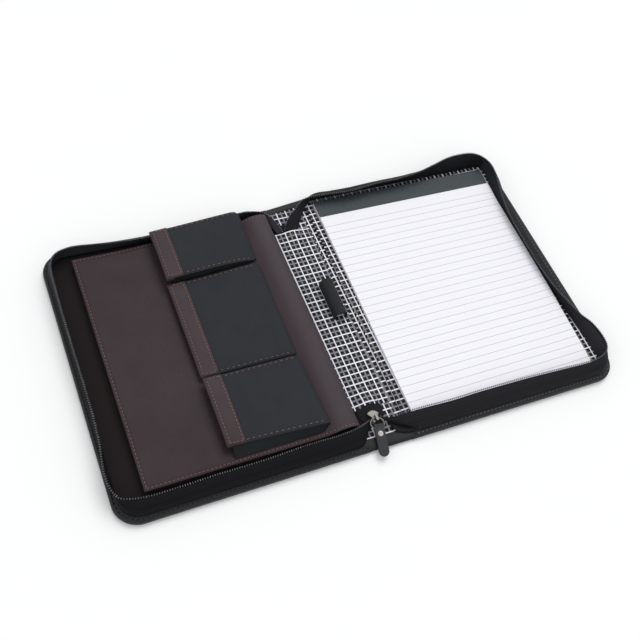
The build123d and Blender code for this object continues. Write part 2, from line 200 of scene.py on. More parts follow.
def choose(piece, kind, test):
    """Opens a piece for editing, with those edges or faces chosen whose corners pass the test."""
    take(piece)
    bpy.ops.object.mode_set(mode="EDIT")
    bpy.ops.mesh.select_mode(type=kind)
    bpy.ops.mesh.select_all(action="DESELECT")
    bpy.ops.object.mode_set(mode="OBJECT")
    for part in piece.data.edges if kind == "EDGE" else piece.data.polygons:
        part.select = test(*(piece.data.vertices[k].co / MM for k in part.vertices))
    bpy.ops.object.mode_set(mode="EDIT")


def round_edges(piece, test, radius, segments):
    choose(piece, "EDGE", test)
    bpy.ops.mesh.bevel(offset=radius * MM, segments=segments, affect="EDGES")
    bpy.ops.object.mode_set(mode="OBJECT")


def dress(piece, finish, slot, *nodes, body=None):
    piece.data.materials.clear()
    piece.data.materials.append(finish)
    if nodes:
        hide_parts(*nodes)
    if body:
        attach(piece, body)
    return piece


def ink(red, green, blue):
    """A colour as a screen shows it, 0 to 255, turned into light."""
    shares = (c / 255 for c in (red, green, blue))
    light = [s / 12.92 if s <= 0.04045 else ((s + 0.055) / 1.055) ** 2.4 for s in shares]
    return (*light, 1.0)


def mix_ink(tree, share, first, second):
    return add_node(tree, "Mix", {0: share, 6: first, 7: second}, data_type="RGBA").outputs[2]


def emboss(tree, shader, height, strength, depth):
    bump = add_node(tree, "Bump", {"Height": height, "Strength": strength, "Distance": depth})
    tree.links.new(bump.outputs[0], shader["Normal"])


def new_group(name, inputs, outputs):
    tree = bpy.data.node_groups.new(name, "ShaderNodeTree")
    for way, labels in (("INPUT", inputs), ("OUTPUT", outputs)):
        for label, kind in labels.items():
            tree.interface.new_socket(name=label, in_out=way, socket_type="NodeSocket" + kind)
    return tree, tree.nodes.new("NodeGroupInput").outputs, tree.nodes.new("NodeGroupOutput").inputs


leather_grain, given, put = new_group(
    "leather_grain",
    {"Vector": "Vector", "Cells": "Float", "Dark": "Color", "Light": "Color"},
    {"Color": "Color", "Roughness": "Float", "Height": "Float"},
)
tree = leather_grain
cells = {"Vector": given["Vector"], "Scale": given["Cells"]}
pores = add_node(tree, "TexVoronoi", cells, feature="DISTANCE_TO_EDGE").outputs[0]
pebble = stretch(tree, pores, 0, 0.28)
fine = flecks(tree, given["Vector"], 900.0, 3.0)
cloudy = stretch(tree, flecks(tree, given["Vector"], 26.0, 4.0), 0.3, 0.7)
tint = reckon(tree, "MULTIPLY_ADD", pebble, 0.3, reckon(tree, "MULTIPLY", cloudy, 0.7))
tree.links.new(mix_ink(tree, tint, given["Dark"], given["Light"]), put["Color"])
tree.links.new(reckon(tree, "MULTIPLY_ADD", fine, 0.22, 0.42), put["Roughness"])
tree.links.new(reckon(tree, "MULTIPLY_ADD", fine, 0.35, pebble), put["Height"])


def leather(name, dark, light, cells, depth, specular):
    finish, tree, shader, spot = new_finish(name, 0.5, specular)
    ins = {"Vector": spot, "Cells": cells, "Dark": dark, "Light": light}
    grain = add_node(tree, "Group", ins, node_tree=leather_grain).outputs
    tree.links.new(grain["Color"], shader["Base Color"])
    tree.links.new(grain["Roughness"], shader["Roughness"])
    emboss(tree, shader, grain["Height"], 0.6, depth)
    return finish


black_leather = leather("black_leather", ink(13, 14, 16), ink(23, 24, 27), 900.0, 0.00012, 0.27)

for half, side in HALVES:
    middle_x = side * (COVER_IN + COVER_OUT) / 2
    bpy.ops.mesh.primitive_cube_add(size=1, location=(middle_x * MM, 0, COVER_T / 2 * MM))
    cover = bpy.context.object
    cover.name = cover.data.name = half + "_outer_cover"
    cover.scale = ((COVER_OUT - COVER_IN) * MM, 2 * EDGE_Y * MM, COVER_T * MM)
    bpy.ops.object.transform_apply()
    round_edges(cover, lambda a, b: abs(a.z - b.z) > 1 and side * a.x > COVER_OUT - 1, CORNER_R, 14)
    under = COVER_IN + 1
    round_edges(cover, lambda a, b: max(a.z, b.z) < 0.01 and max(side * a.x, side * b.x) > under, 0.9, 3)
    for point in cover.data.vertices:
        x, y = settle(side, abs(point.co.x) / MM, point.co.y / MM)
        point.co.x, point.co.y = side * x * MM, y * MM
    dress(smooth(cover, 35), black_leather, "black_leather", half + "_outer_cover", body=half + "_half")

# The skin's line along the spine, as y and z, from the hem turned in at the foot to the one at the head.
FOOT_HEM_Y, HEAD_HEM_Y, HEM_Z = 138.0, 142.4, 4.5
turned_skin = [(146.0, HEM_Z), (148.4, 4.2), (149.4, 3.2), (149.3, 1.8), (148.6, 0.9), (147.0, 0.6)]
foot_skin, head_skin = ([(y, HEM_Z - 0.3), (y + 1, HEM_Z)] + turned_skin for y in (FOOT_HEM_Y, HEAD_HEM_Y))
skin_line = [(-y, z) for y, z in foot_skin] + [(-90, 0.6), (0, 0.6), (90, 0.6)] + head_skin[::-1]


def lay_skin(name, x0, x1, cols, reach=0.0):
    def place(u, spot):
        y, z = spot
        x = x0 + u * (x1 - x0)
        x *= 1 + reach * max(0.0, abs(x) - SPINE_X) if z > 4 else 1
        return x, spine_y(x, y), z

    return thicken(lay_sheet(name, cols, skin_line, place), SKIN_T)


spine_skin = lay_skin("spine_outer_cover", -SPINE_X, SPINE_X, 6)
dress(spine_skin, black_leather, "black_leather", "spine_outer_cover", body="spine")
for half, side in HALVES:
    fold = lay_skin(half + "_fold_strip", *sorted((SPINE_X * side, FOLD_X * side)), 10, reach=0.05)
    dress(fold, black_leather, "black_leather", half + "_fold_strip")
    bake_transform(fold)

# Boards: stiff grey card inside both covers and the spine.
# They are glued between the skin and the linings, and hardly show.
BOARD_Z, BOARD_T, LAID_IN = 2.2, 2.0, 3.2


def flecked(name, roughness, specular, scale, detail, dark, light, strength=0.0, depth=0.0):
    """A finish of two mottled colours, whose flecks may stand up a little."""
    finish, tree, shader, spot = new_finish(name, roughness, specular)
    mottle = flecks(tree, spot, scale, detail)
    tree.links.new(mix_ink(tree, mottle, dark, light), shader["Base Color"])
    if strength:
        emboss(tree, shader, mottle, strength, depth)
    return finish


grey_board = flecked("grey_board", 0.85, 0.2, 500.0, 6.0, ink(92, 88, 82), ink(140, 134, 124))


def inside_y(x, inset):
    """Half the height of a cover at x, inset from its rounded outline."""
    past, radius = abs(x) - (COVER_OUT - CORNER_R), CORNER_R - inset
    if past <= 0:
        return EDGE_Y - inset
    return EDGE_Y - CORNER_R + math.sqrt(max(0.0, radius * radius - past * past))


fold_steps = [SPINE_X + 1.5 * k for k in range(9)]
corner_x, laid_r = COVER_OUT - CORNER_R, CORNER_R - LAID_IN
corner_steps = [corner_x + laid_r * math.sin(math.radians(9 * k)) for k in range(1, 11)]
flat_steps = fold_steps + [60, 100, 140, 180, 220, corner_x] + corner_steps
BOARD_FROM, FOLD_OUT = fold_steps[5], fold_steps[7]


def lay_flat(name, side, from_x, to_x, z, thickness):
    def place(x, v):
        x, y = settle(side, x, side * (2 * v - 1) * inside_y(x, LAID_IN))
        return side * x, y, z

    steps = [x for x in flat_steps if from_x <= x <= to_x]
    return thicken(lay_sheet(name, steps, 20, place), thickness)


def lay_spine(name, z, thickness):
    def place(u, v):
        x = -SPINE_X + 2 * SPINE_X * u
        return x, spine_y(x, (2 * v - 1) * (EDGE_Y - LAID_IN)), z

    return thicken(lay_sheet(name, 8, 40, place), thickness)


for half, side in HALVES:
    board = lay_flat(half + "_board", side, BOARD_FROM, COVER_OUT, BOARD_Z, BOARD_T)
    dress(board, grey_board, "stiff_board", half + "_board", body=half + "_half")
spine_board = lay_spine("spine_board", BOARD_Z, BOARD_T)
dress(spine_board, grey_board, "stiff_board", "spine_board", body="spine")

# Linings: checked cotton on the right cover and spine, dark cloth on the left cover.
# Each is a single sheet glued down flat, and runs on over the soft fold.
LINING_Z, LINING_T, LINING_OUT, LINING_TALL = 3.6, 0.8, 264.8, 0.2936
WHITE_SHARE, GREY_AT, GREY_HALF = 0.125, 0.5625, 0.078


def parts(tree, spot):
    return add_node(tree, "SeparateXYZ", {0: spot}).outputs


check_weave, given, put = new_group(
    "check_weave", {"Vector": "Vector", "Spot": "Vector"}, {"Color": "Color", "Height": "Float"}
)
tree = check_weave
shares = [reckon(tree, "FRACT", parts(tree, given["Vector"])[axis]) for axis in (0, 1)]
white = reckon(tree, "MAXIMUM", *(reckon(tree, "LESS_THAN", share, WHITE_SHARE) for share in shares))
grey = reckon(tree, "MAXIMUM", *(reckon(tree, "COMPARE", share, GREY_AT, GREY_HALF) for share in shares))
yarn = stretch(tree, flecks(tree, given["Spot"], 1500.0), 0.3, 0.7)
dark_ink = mix_ink(tree, yarn, ink(18, 18, 23), ink(36, 36, 42))
grey_ink = mix_ink(tree, yarn, ink(112, 111, 114), ink(152, 151, 153))
white_ink = mix_ink(tree, yarn, ink(224, 223, 236), ink(246, 246, 252))
tree.links.new(mix_ink(tree, white, mix_ink(tree, grey, dark_ink, grey_ink), white_ink), put["Color"])
ribs = {"Vector": given["Spot"], "Scale": 520.0, "Distortion": 0.4}
warp, weft = (add_node(tree, "TexWave", ribs, bands_direction=way).outputs["Fac"] for way in "XY")
tree.links.new(reckon(tree, "MULTIPLY_ADD", white, 0.5, reckon(tree, "ADD", warp, weft)), put["Height"])


def check_cloth(name, line_x, line_y, pitch_x, pitch_y, slope=0.0, plain=None):
    """Checked cotton whose white lines pass through line_x and line_y, all in millimetres.
    Between the two ends of plain, in y, it is left dark."""
    finish, tree, shader, spot = new_finish(name, 0.8, 0.15)
    x_y = parts(tree, spot)
    ways = []
    for k, lean, line, pitch in ((0, slope, line_x, pitch_x), (1, -slope, line_y, pitch_y)):
        slid = reckon(tree, "MULTIPLY_ADD", x_y[1 - k], lean, x_y[k])
        ways.append(reckon(tree, "MULTIPLY_ADD", slid, 1 / (pitch * MM), WHITE_SHARE / 2 - line / pitch))
    cells = add_node(tree, "CombineXYZ", dict(enumerate(ways))).outputs[0]
    weave = add_node(tree, "Group", {"Vector": cells, "Spot": spot}, node_tree=check_weave).outputs
    colour = weave["Color"]
    if plain:
        middle, half_span = (plain[0] + plain[1]) / 2 * MM, (plain[1] - plain[0]) / 2 * MM
        colour = mix_ink(tree, reckon(tree, "COMPARE", x_y[1], middle, half_span), colour, ink(24, 22, 24))
    tree.links.new(colour, shader["Base Color"])
    emboss(tree, shader, weave["Height"], 0.4, 0.0001)
    return finish


dark_cloth = flecked("dark_cloth", 0.85, 0.15, 1300.0, 3.0, ink(22, 18, 19), ink(38, 32, 33), 0.5, 0.0001)
right_check = check_cloth("right_check", 20.3, 134.6, 10.8, 11.58, slope=0.02)
spine_check = check_cloth("spine_check", -2.1, -137.0, 10.6, 11.5)
fold_check = check_cloth("fold_check", -2.1, -137.0, 10.6, 11.5, plain=(-126.5, 127.0))

for name, half, side, from_x, to_x, finish, slot, under in (
    ("right_lining", "right", 1, SPINE_X, LINING_OUT, right_check, "check_cloth", "right_board"),
    ("left_lining", "left", -1, FOLD_OUT, LINING_OUT, dark_cloth, "dark_cloth", "left_board"),
    ("left_fold_lining", "left", -1, SPINE_X, FOLD_OUT, fold_check, "check_cloth", "spine_board"),
):
    lining = lay_flat(name, side, from_x, to_x, LINING_Z, LINING_T)
    dress(lining, finish, slot, half + "_lining")
    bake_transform(lining)
spine_lining = lay_spine("spine_lining", LINING_Z, LINING_T)
dress(spine_lining, spine_check, "check_cloth", "spine_lining", body="spine")

# Edge welt: a rounded rim of black leather round three sides of each cover.
# It is folded over the edge and sewn down with one row of black thread in a groove.
RIM_X, RIM_Z = 22.6, 1.25
GROOVE_IN, GROOVE_Z, GROOVE_SHARE = 3.0, 6.7, 0.5
HEM_SHARE, HEM_REACH, HEAD_NARROW, HEAD_REACH = 0.62, 26, 2.8, 170
SIDE_BROAD, SIDE_EVEN, SIDE_EASE = 5.2, 70, 60
STITCH_SIZE = (2.5, 0.7, 0.7)
# Each corner of the rim's section: how far in from the edge, how high, and its share of the broader rim.
rim_profile = [(0.5, RIM_Z, 0), (-0.2, 2.4, 0), (-0.3, 4.2, 0), (0.0, 5.6, 0), (0.7, 6.8, 0)]
rim_profile += [(1.6, 7.4, 0.15), (2.4, 7.4, 0.35), (GROOVE_IN, GROOVE_Z, GROOVE_SHARE), (3.7, 7.4, 0.6)]
rim_profile += [(5.5, 7.8, 1), (6.0, 6.9, 1), (6.0, 4.08, 1), (3.0, 4.08, 0), (3.0, RIM_Z, 0)]
FOOT_RUN = COVER_OUT - CORNER_R
CORNER_RUN = CORNER_R * math.pi / 2
SIDE_RUN = 2 * (EDGE_Y - CORNER_R)
WHOLE_RUN = 2 * FOOT_RUN + 2 * CORNER_RUN + SIDE_RUN


def along_edge(run, inset):
    """The point at a run along the right cover's edge from the spine's middle, and the way in."""
    if run > WHOLE_RUN / 2:
        spot, way_in = along_edge(WHOLE_RUN - run, inset)
        return Vector((spot.x, -spot.y, 0)), Vector((way_in.x, -way_in.y, 0))
    if run <= FOOT_RUN:
        return Vector((run, inset - EDGE_Y, 0)), Vector((0, 1, 0))
    turn = (run - FOOT_RUN) / CORNER_R
    if run <= FOOT_RUN + CORNER_RUN:
        out = Vector((math.sin(turn), -math.cos(turn), 0))
        return Vector((FOOT_RUN, CORNER_R - EDGE_Y, 0)) + (CORNER_R - inset) * out, -out
    y = CORNER_R - EDGE_Y + run - FOOT_RUN - CORNER_RUN
    return Vector((COVER_OUT - inset, y, 0)), Vector((-1, 0, 0))


def edge_runs(start):
    """Runs along the edge, close together round the corners."""
    stops = [start, FOOT_RUN, FOOT_RUN + CORNER_RUN, WHOLE_RUN - FOOT_RUN - CORNER_RUN]
    stops += [WHOLE_RUN - FOOT_RUN, WHOLE_RUN - start]
    runs = [start]
    for a, b, count in zip(stops, stops[1:], (24, 14, 24, 14, 24)):
        runs += [a + (b - a) * (j + 1) / count for j in range(count)]
    return runs


def close_up(piece):
    """Merges the seam of a swept shape, closes its ends and turns its faces out."""
    take(piece)
    bpy.ops.object.mode_set(mode="EDIT")
    bpy.ops.mesh.select_all(action="SELECT")
    bpy.ops.mesh.remove_doubles(threshold=0.00001)
    bpy.ops.mesh.fill_holes(sides=0)
    bpy.ops.mesh.normals_make_consistent(inside=False)
    bpy.ops.object.mode_set(mode="OBJECT")
    return smooth(piece)


def rim_rise(x):
    """The rim's share of its height, less where it meets the spine's turned-in hem."""
    return HEM_SHARE + (1 - HEM_SHARE) * within((x - RIM_X) / HEM_REACH) ** 0.6


def swell(distance, reach):
    """1 at the middle of a swelling and 0 from its reach on, with no corner."""
    share = min(1.0, abs(distance) / reach)
    return 1 - share * share * (3 - 2 * share)


def rim_broad(side, run):
    """How much broader the rim lies along the right cover's outer side.
    It is narrower at the head, where the pad slides."""
    if side < 0:
        return 0.0
    from_spine = WHOLE_RUN - run
    if from_spine < HEAD_REACH:
        return -HEAD_NARROW * (1 - from_spine / HEAD_REACH)
    return SIDE_BROAD * swell(max(0.0, abs(run - WHOLE_RUN / 2) - SIDE_EVEN), SIDE_EASE)


def lay_rim(name, side):
    def place(run, corner):
        inset, z, share = corner
        spot = along_edge(run, inset + share * rim_broad(side, run))[0]
        x, y = settle(side, spot.x, spot.y)
        return side * x, y, RIM_Z + (z - RIM_Z) * rim_rise(spot.x)

    return close_up(lay_sheet(name, edge_runs(RIM_X), rim_profile + rim_profile[:1], place))


def copies(name, pattern, places):
    """One piece made of copies of a pattern, one at each place, in the pattern's stead."""
    corners = [v.co.copy() for v in pattern.data.vertices]
    faces = [tuple(p.vertices) for p in pattern.data.polygons]
    points, loops = [], []
    for place in places:
        start = len(points)
        points += [place @ c for c in corners]
        loops += [tuple(start + k for k in face) for face in faces]
    mesh = bpy.data.meshes.new(name)
    mesh.from_pydata(points, [], loops)
    made = bpy.data.objects.new(name, mesh)
    bpy.context.scene.collection.objects.link(made)
    bpy.data.objects.remove(pattern)
    return smooth(made, 60)


def stand(spot, along, up):
    """A place at spot in millimetres, with x along, z up."""
    across = up.cross(along).normalized()
    along = along.normalized()
    turn = Matrix((along, across, along.cross(across))).transposed().to_4x4()
    return Matrix.Translation(spot * MM) @ turn


def sew(name, lines, pitch, lean=8.0, bold=1.0):
    """Stitches along lines of points, each stitch leaning a little across its line."""
    bpy.ops.mesh.primitive_uv_sphere_add(segments=8, ring_count=6, radius=0.5 * MM)
    stitch = bpy.context.object
    stitch.scale = STITCH_SIZE
    bpy.ops.object.transform_apply()
    slant = Matrix.Rotation(math.radians(lean), 4, "Z") @ Matrix.Scale(bold, 4)
    places = []
    for line in lines:
        points = [Vector(p) for p in line]
        left = pitch / 2
        for a, b in zip(points, points[1:]):
            length = (b - a).length
            while left <= length:
                places.append(stand(a.lerp(b, left / length), b - a, Vector((0, 0, 1))) @ slant)
                left += pitch
            left -= length
    return copies(name, stitch, places)


def thread(name, dark, light):
    return flecked(name, 0.6, 0.3, 1800.0, 2.0, dark, light, 0.6, 0.0001)


black_thread = thread("black_thread", ink(66, 68, 72), ink(122, 125, 130))
# The left half's welt thread is a darker copy of the same black thread, as painted shade.
painted_shade_thread = thread("painted_shade_thread", ink(34, 34, 38), ink(70, 70, 75))
for half, side in HALVES:
    rim = lay_rim(half + "_edge_welt", side)
    dress(rim, black_leather, "black_leather", half + "_edge_welt", body=half + "_half")
    line = []
    for run in edge_runs(RIM_X + 4.6):
        x, y = settle(side, *along_edge(run, GROOVE_IN + GROOVE_SHARE * rim_broad(side, run))[0].xy)
        line.append((side * x, y, 1.6 + (GROOVE_Z - RIM_Z) * rim_rise(x)))
    row = sew(half + "_welt_stitches", [line], 4.4, lean=14, bold=1.3)
    dress(row, black_thread if side > 0 else painted_shade_thread, "black_leather", body=half + "_half")

# Zip: a black cloth gusset and tape round three sides of each cover, with a row of metal teeth.
# It stands up at the corners, slumps in along the edges, and its loose ends dive to the spine.
BASE_INSET, BASE_Z = 5.5, 7.2
GUSSET_TO, TAPE_FROM, TAPE_TO, SWELL, SWELL_AT = 0.60, 0.40, 0.955, 1.4, 0.74
ZIP_COLS, LENGTH_PARTS, TOOTH_PITCH, TOOTH_SIZE = 300, 4000, 2.3, (0.95, 1.7, 1.5)
CREASE_FROM, CREASE_TO, CREASE_DEPTH, CREASE_HALF = 9, 36, 5.5, 0.17

# Where the teeth run, from the foot end at the spine to the head end, and the bases of the two loose ends.
RIGHT_TEETH = [
    (-2.4, -120.2, 8.2), (4.2, -122.4, 9.5), (12.5, -125.1, 13), (24.3, -125.6, 15.5), (39.5, -126.2, 17),
    (73, -127.5, 17), (105, -127.3, 17), (152, -128.4, 17.5), (182.3, -129.6, 17.5), (212.4, -131.4, 18),
    (232.5, -132.8, 19), (249.8, -132.2, 20), (261, -128.3, 20.3), (267, -121.1, 20.7),
    (268.5, -108.9, 20.8), (265, -93.2, 21), (257, -79, 20.7), (250.3, -56.3, 20), (246.5, -37, 19),
    (244, -11.3, 18.5), (243.5, 12, 18.5), (243.2, 34.8, 18.8), (243.8, 60.6, 19.3), (246.7, 83.5, 20.5),
    (250, 101, 22), (253.6, 117, 23), (254.4, 133.3, 23), (246.6, 145.7, 24), (233, 151, 24.8),
    (208.3, 151, 24.3), (183.5, 145, 23), (163.2, 139.5, 22.8), (135, 136.2, 22), (104, 135.5, 21.7),
    (73, 133.2, 21.2), (51.8, 135, 20.1), (30.6, 136.3, 20.2), (17, 136.6, 17.4), (5.6, 129.4, 14.9),
    (-7, 119.6, 13), (-14, 108.8, 7.2),
]
RIGHT_FOOT = [(9, -138.5, 5.2), (14, -141, 5.3), (21, -143, 5.5), (31, -144, 6.0)]
RIGHT_HEAD = [(34, 143.8, 6.8), (22, 135.5, 5.6), (13.8, 126, 5.4), (6.8, 116, 5.2), (1.5, 108.3, 5.4)]
LEFT_TEETH = [
    (11.6, -120.2, 8.2), (18, -122.8, 11), (27, -126.3, 15), (39.5, -128.8, 17), (56, -129.8, 17.5),
    (72, -129.6, 18), (91.8, -129.8, 18), (115.5, -130.9, 18), (142.8, -131.3, 18), (169.2, -131.1, 18),
    (195.1, -131.6, 18), (220.5, -132, 18), (232.8, -131.9, 18.3), (244.7, -130.6, 18.8),
    (255.9, -127.3, 19.3), (260.5, -122.7, 19.7), (263.9, -113, 20.2), (264.3, -98.7, 20.5),
    (260.6, -71.8, 20.5), (258.9, -37, 20.5), (259.1, 10, 21), (259, 56, 21), (258.2, 99, 21),
    (256.9, 115, 21), (252.6, 125, 21), (246, 130, 21), (235.8, 132.5, 21), (225, 132.2, 21),
    (209, 130, 21), (179.2, 126.4, 21), (156.2, 127, 20), (105, 130.2, 19.3), (57, 134.4, 18.8),
    (42.3, 136, 14.2), (31.2, 133.4, 13.6), (25.2, 129.4, 12),
    (20.9, 125, 10.2), (17.2, 116.3, 8.4), (15.2, 108.6, 6.6),
]
LEFT_FOOT = [(24.5, -138.5, 5.2), (28, -141.5, 5.3), (33, -143.5, 5.5), (41, -144, 6.2)]
LEFT_HEAD = [(44, 138.6, 5.6), (36, 136.2, 5.4), (31, 130.8, 5.2), (27.2, 123, 5.8), (24, 114, 6.7)]
LEFT_HEAD += [(21.5, 107.6, 6.2)]


def run_under(x, y):
    """The run along the edge that lies under a point of the teeth."""
    corner_y = EDGE_Y - CORNER_R
    if y > 0:
        return WHOLE_RUN - run_under(x, -y)
    if y >= -corner_y:
        return FOOT_RUN + CORNER_RUN + y + corner_y
    return x if x <= FOOT_RUN else FOOT_RUN + CORNER_R * math.atan2(x - FOOT_RUN, -corner_y - y)


def ease(points, t):
    """A smooth line through points, t from 0 at the first to 1 at the last."""
    place = t * (len(points) - 1)
    k = min(int(place), len(points) - 2)
    f = place - k
    a, b, c, d = (points[min(max(j, 0), len(points) - 1)] for j in (k - 1, k, k + 1, k + 2))
    return 0.5 * (2 * b + (c - a) * f + (2 * a - 5 * b + 4 * c - d) * f * f + (3 * b - a - 3 * c + d) * f**3)


def bow(a, b, c, v):
    """A line bowed from a to c, drawn towards b."""
    return a * (1 - v) ** 2 + b * (2 * v * (1 - v)) + c * v * v


class ZipEdge:
    """One half's zip: its base along the welt, its line of teeth and the swell between them."""

    def __init__(self, side, teeth, foot_end, head_end):
        self.side, self.tops = side, [Vector(top) for top in teeth]
        self.runs, self.pulls = [], []
        bases = foot_end + [None] * (len(teeth) - len(foot_end) - len(head_end)) + head_end
        for base, top in zip(bases, teeth):
            run = run_under(*top[:2])
            if base:
                run = base[0] if base[1] < 0 else WHOLE_RUN - base[0]
            self.runs.append(run)
            self.pulls.append(Vector(base) - self.on_rim(run) if base else Vector((0, 0, 0)))
        spots = [ease(self.tops, k / LENGTH_PARTS) for k in range(LENGTH_PARTS + 1)]
        self.lengths = [0.0]
        for a, b in zip(spots, spots[1:]):
            self.lengths.append(self.lengths[-1] + (b - a).length)

    def on_rim(self, run):
        inset = BASE_INSET + rim_broad(self.side, run)
        return Vector((*settle(self.side, *along_edge(run, inset)[0].xy), BASE_Z))

    def column(self, length):
        """Base, swell and top of the zip at a length along its teeth, the way ahead and the run below."""
        k = min(bisect_right(self.lengths, length), LENGTH_PARTS) - 1
        t = (k + (length - self.lengths[k]) / (self.lengths[k + 1] - self.lengths[k])) / LENGTH_PARTS
        run, top = ease(self.runs, t), ease(self.tops, t)
        base = self.on_rim(run) + ease(self.pulls, t)
        step = 0.002
        ahead = ease(self.tops, min(1, t + step)) - ease(self.tops, max(0, t - step))
        wave = noise.noise(top * 0.03) * 1.1 + noise.noise(top * 0.11) * 0.4
        rise = top.z - base.z
        out = -along_edge(run, 0)[1] * min(1.0, rise / 10) * (SWELL + wave)
        belly = base + Vector((0, 0, SWELL_AT * rise)) + out
        return base, belly, top, ahead.normalized(), run


FACING_Z, FACING_FROM, FACING_SPAN, FACING_TOP = 5.95, 0.07, 0.86, 0.75
# How far in from the edge the black facing is sewn down, by the place along the right cover's outer side.
FACING_SEAM = [(-163, 8), (-140, 10), (-124, 11), (-104, 12.2), (-93, 13), (-80, 14), (-58, 15.4)]
FACING_SEAM += [(-40, 17.2), (-15, 18.6), (60, 17), (95, 15.1), (112, 13.1), (126, 11), (140, 7.5)]
FACING_SEAM += [(150, 4.4), (163, 3)]


def seam_inset(run):
    y = min(max(run - WHOLE_RUN / 2, FACING_SEAM[0][0]), FACING_SEAM[-1][0])
    for (ya, a), (yb, b) in zip(FACING_SEAM, FACING_SEAM[1:]):
        if y <= yb:
            return a + (b - a) * (y - ya) / (yb - ya)


def ribbed_cloth(name, dark, light, along, across, specular, shade=0.0):
    """Close black cloth with ribs across its length; along and across count ribs over the sheet.
    It may be painted darker near the seam at its base, as painted shade where the cloth meets the welt."""
    finish, tree, shader, spot = new_finish(name, 0.7, specular)
    sheet = parts(tree, add_node(tree, "TexCoord").outputs["UV"])
    rib, line = (
        reckon(tree, "SINE", reckon(tree, "MULTIPLY", sheet[k], count * 2 * math.pi))
        for k, count in ((0, along), (1, across))
    )
    nap = flecks(tree, spot, 1200.0, 3.0)
    height = reckon(tree, "MULTIPLY_ADD", rib, 0.4, reckon(tree, "MULTIPLY_ADD", line, 0.4, nap))
    colour = mix_ink(tree, stretch(tree, height, -0.4, 1.4), dark, light)
    if shade:
        # Painted shade: the cloth darkens to near black towards its base, up to the share shade of its
        # height.
        colour = mix_ink(tree, stretch(tree, sheet[1], 0, shade, 1, 0), colour, ink(4, 4, 5))
    tree.links.new(colour, shader["Base Color"])
    emboss(tree, shader, height, 0.5, 0.00015)
    return finish


def paint_light_ramp(finish, axis, low, high, most, tone):
    """Paints light or shade into a finish: fades it towards a tone, from low to high along an axis, in
    metres.
    """
    tree, shader = finish.node_tree, finish.node_tree.nodes["Principled BSDF"].inputs
    full = shader["Base Color"].links[0].from_socket
    away = parts(tree, add_node(tree, "TexCoord").outputs["Object"])[axis]
    tree.links.new(mix_ink(tree, stretch(tree, away, low, high, 0, most), full, tone), shader["Base Color"])
    return finish


# The gusset cloths are painted darker along their base, as painted shade at the seam with the welt.
gusset_cloth = ribbed_cloth("gusset_cloth", ink(11, 11, 14), ink(24, 24, 28), 700.0, 9.0, 0.18, shade=0.24)
facing_cloth = ribbed_cloth("facing_cloth", ink(26, 26, 30), ink(46, 46, 52), 640.0, 6.0, 0.2)
tape_cloth = ribbed_cloth("tape_cloth", ink(13, 13, 16), ink(29, 29, 33), 620.0, 5.0, 0.15)
# The left half's gusset and tape are darker copies of the right half's cloths, as painted shade; the loop
# below paints them lighter towards the head end, as painted light.
painted_shade_gusset_cloth = ribbed_cloth("painted_shade_gusset_cloth", ink(8, 8, 11), ink(17, 17, 21), 700.0, 9.0, 0.12, 0.24)
painted_shade_tape_cloth = ribbed_cloth("painted_shade_tape_cloth", ink(9, 9, 12), ink(21, 21, 25), 620.0, 5.0, 0.1)
for painted_shade_cloth in (painted_shade_gusset_cloth, painted_shade_tape_cloth):
    paint_light_ramp(painted_shade_cloth, 1, 0.05, 0.12, 0.9, ink(50, 50, 55))


def metal(name, dark, light, roughness):
    finish, tree, shader, spot = new_finish(name, roughness, 0.5)
    shader["Metallic"].default_value = 1.0
    rub = flecks(tree, spot, 320.0, 4.0)
    tree.links.new(mix_ink(tree, rub, dark, light), shader["Base Color"])
    tree.links.new(stretch(tree, rub, 0, 1, roughness - 0.08, roughness + 0.12), shader["Roughness"])
    return finish


dark_nickel = metal("dark_nickel", ink(70, 71, 74), ink(128, 129, 132), 0.32)
nickel = metal("nickel", ink(98, 95, 92), ink(132, 129, 125), 0.44)

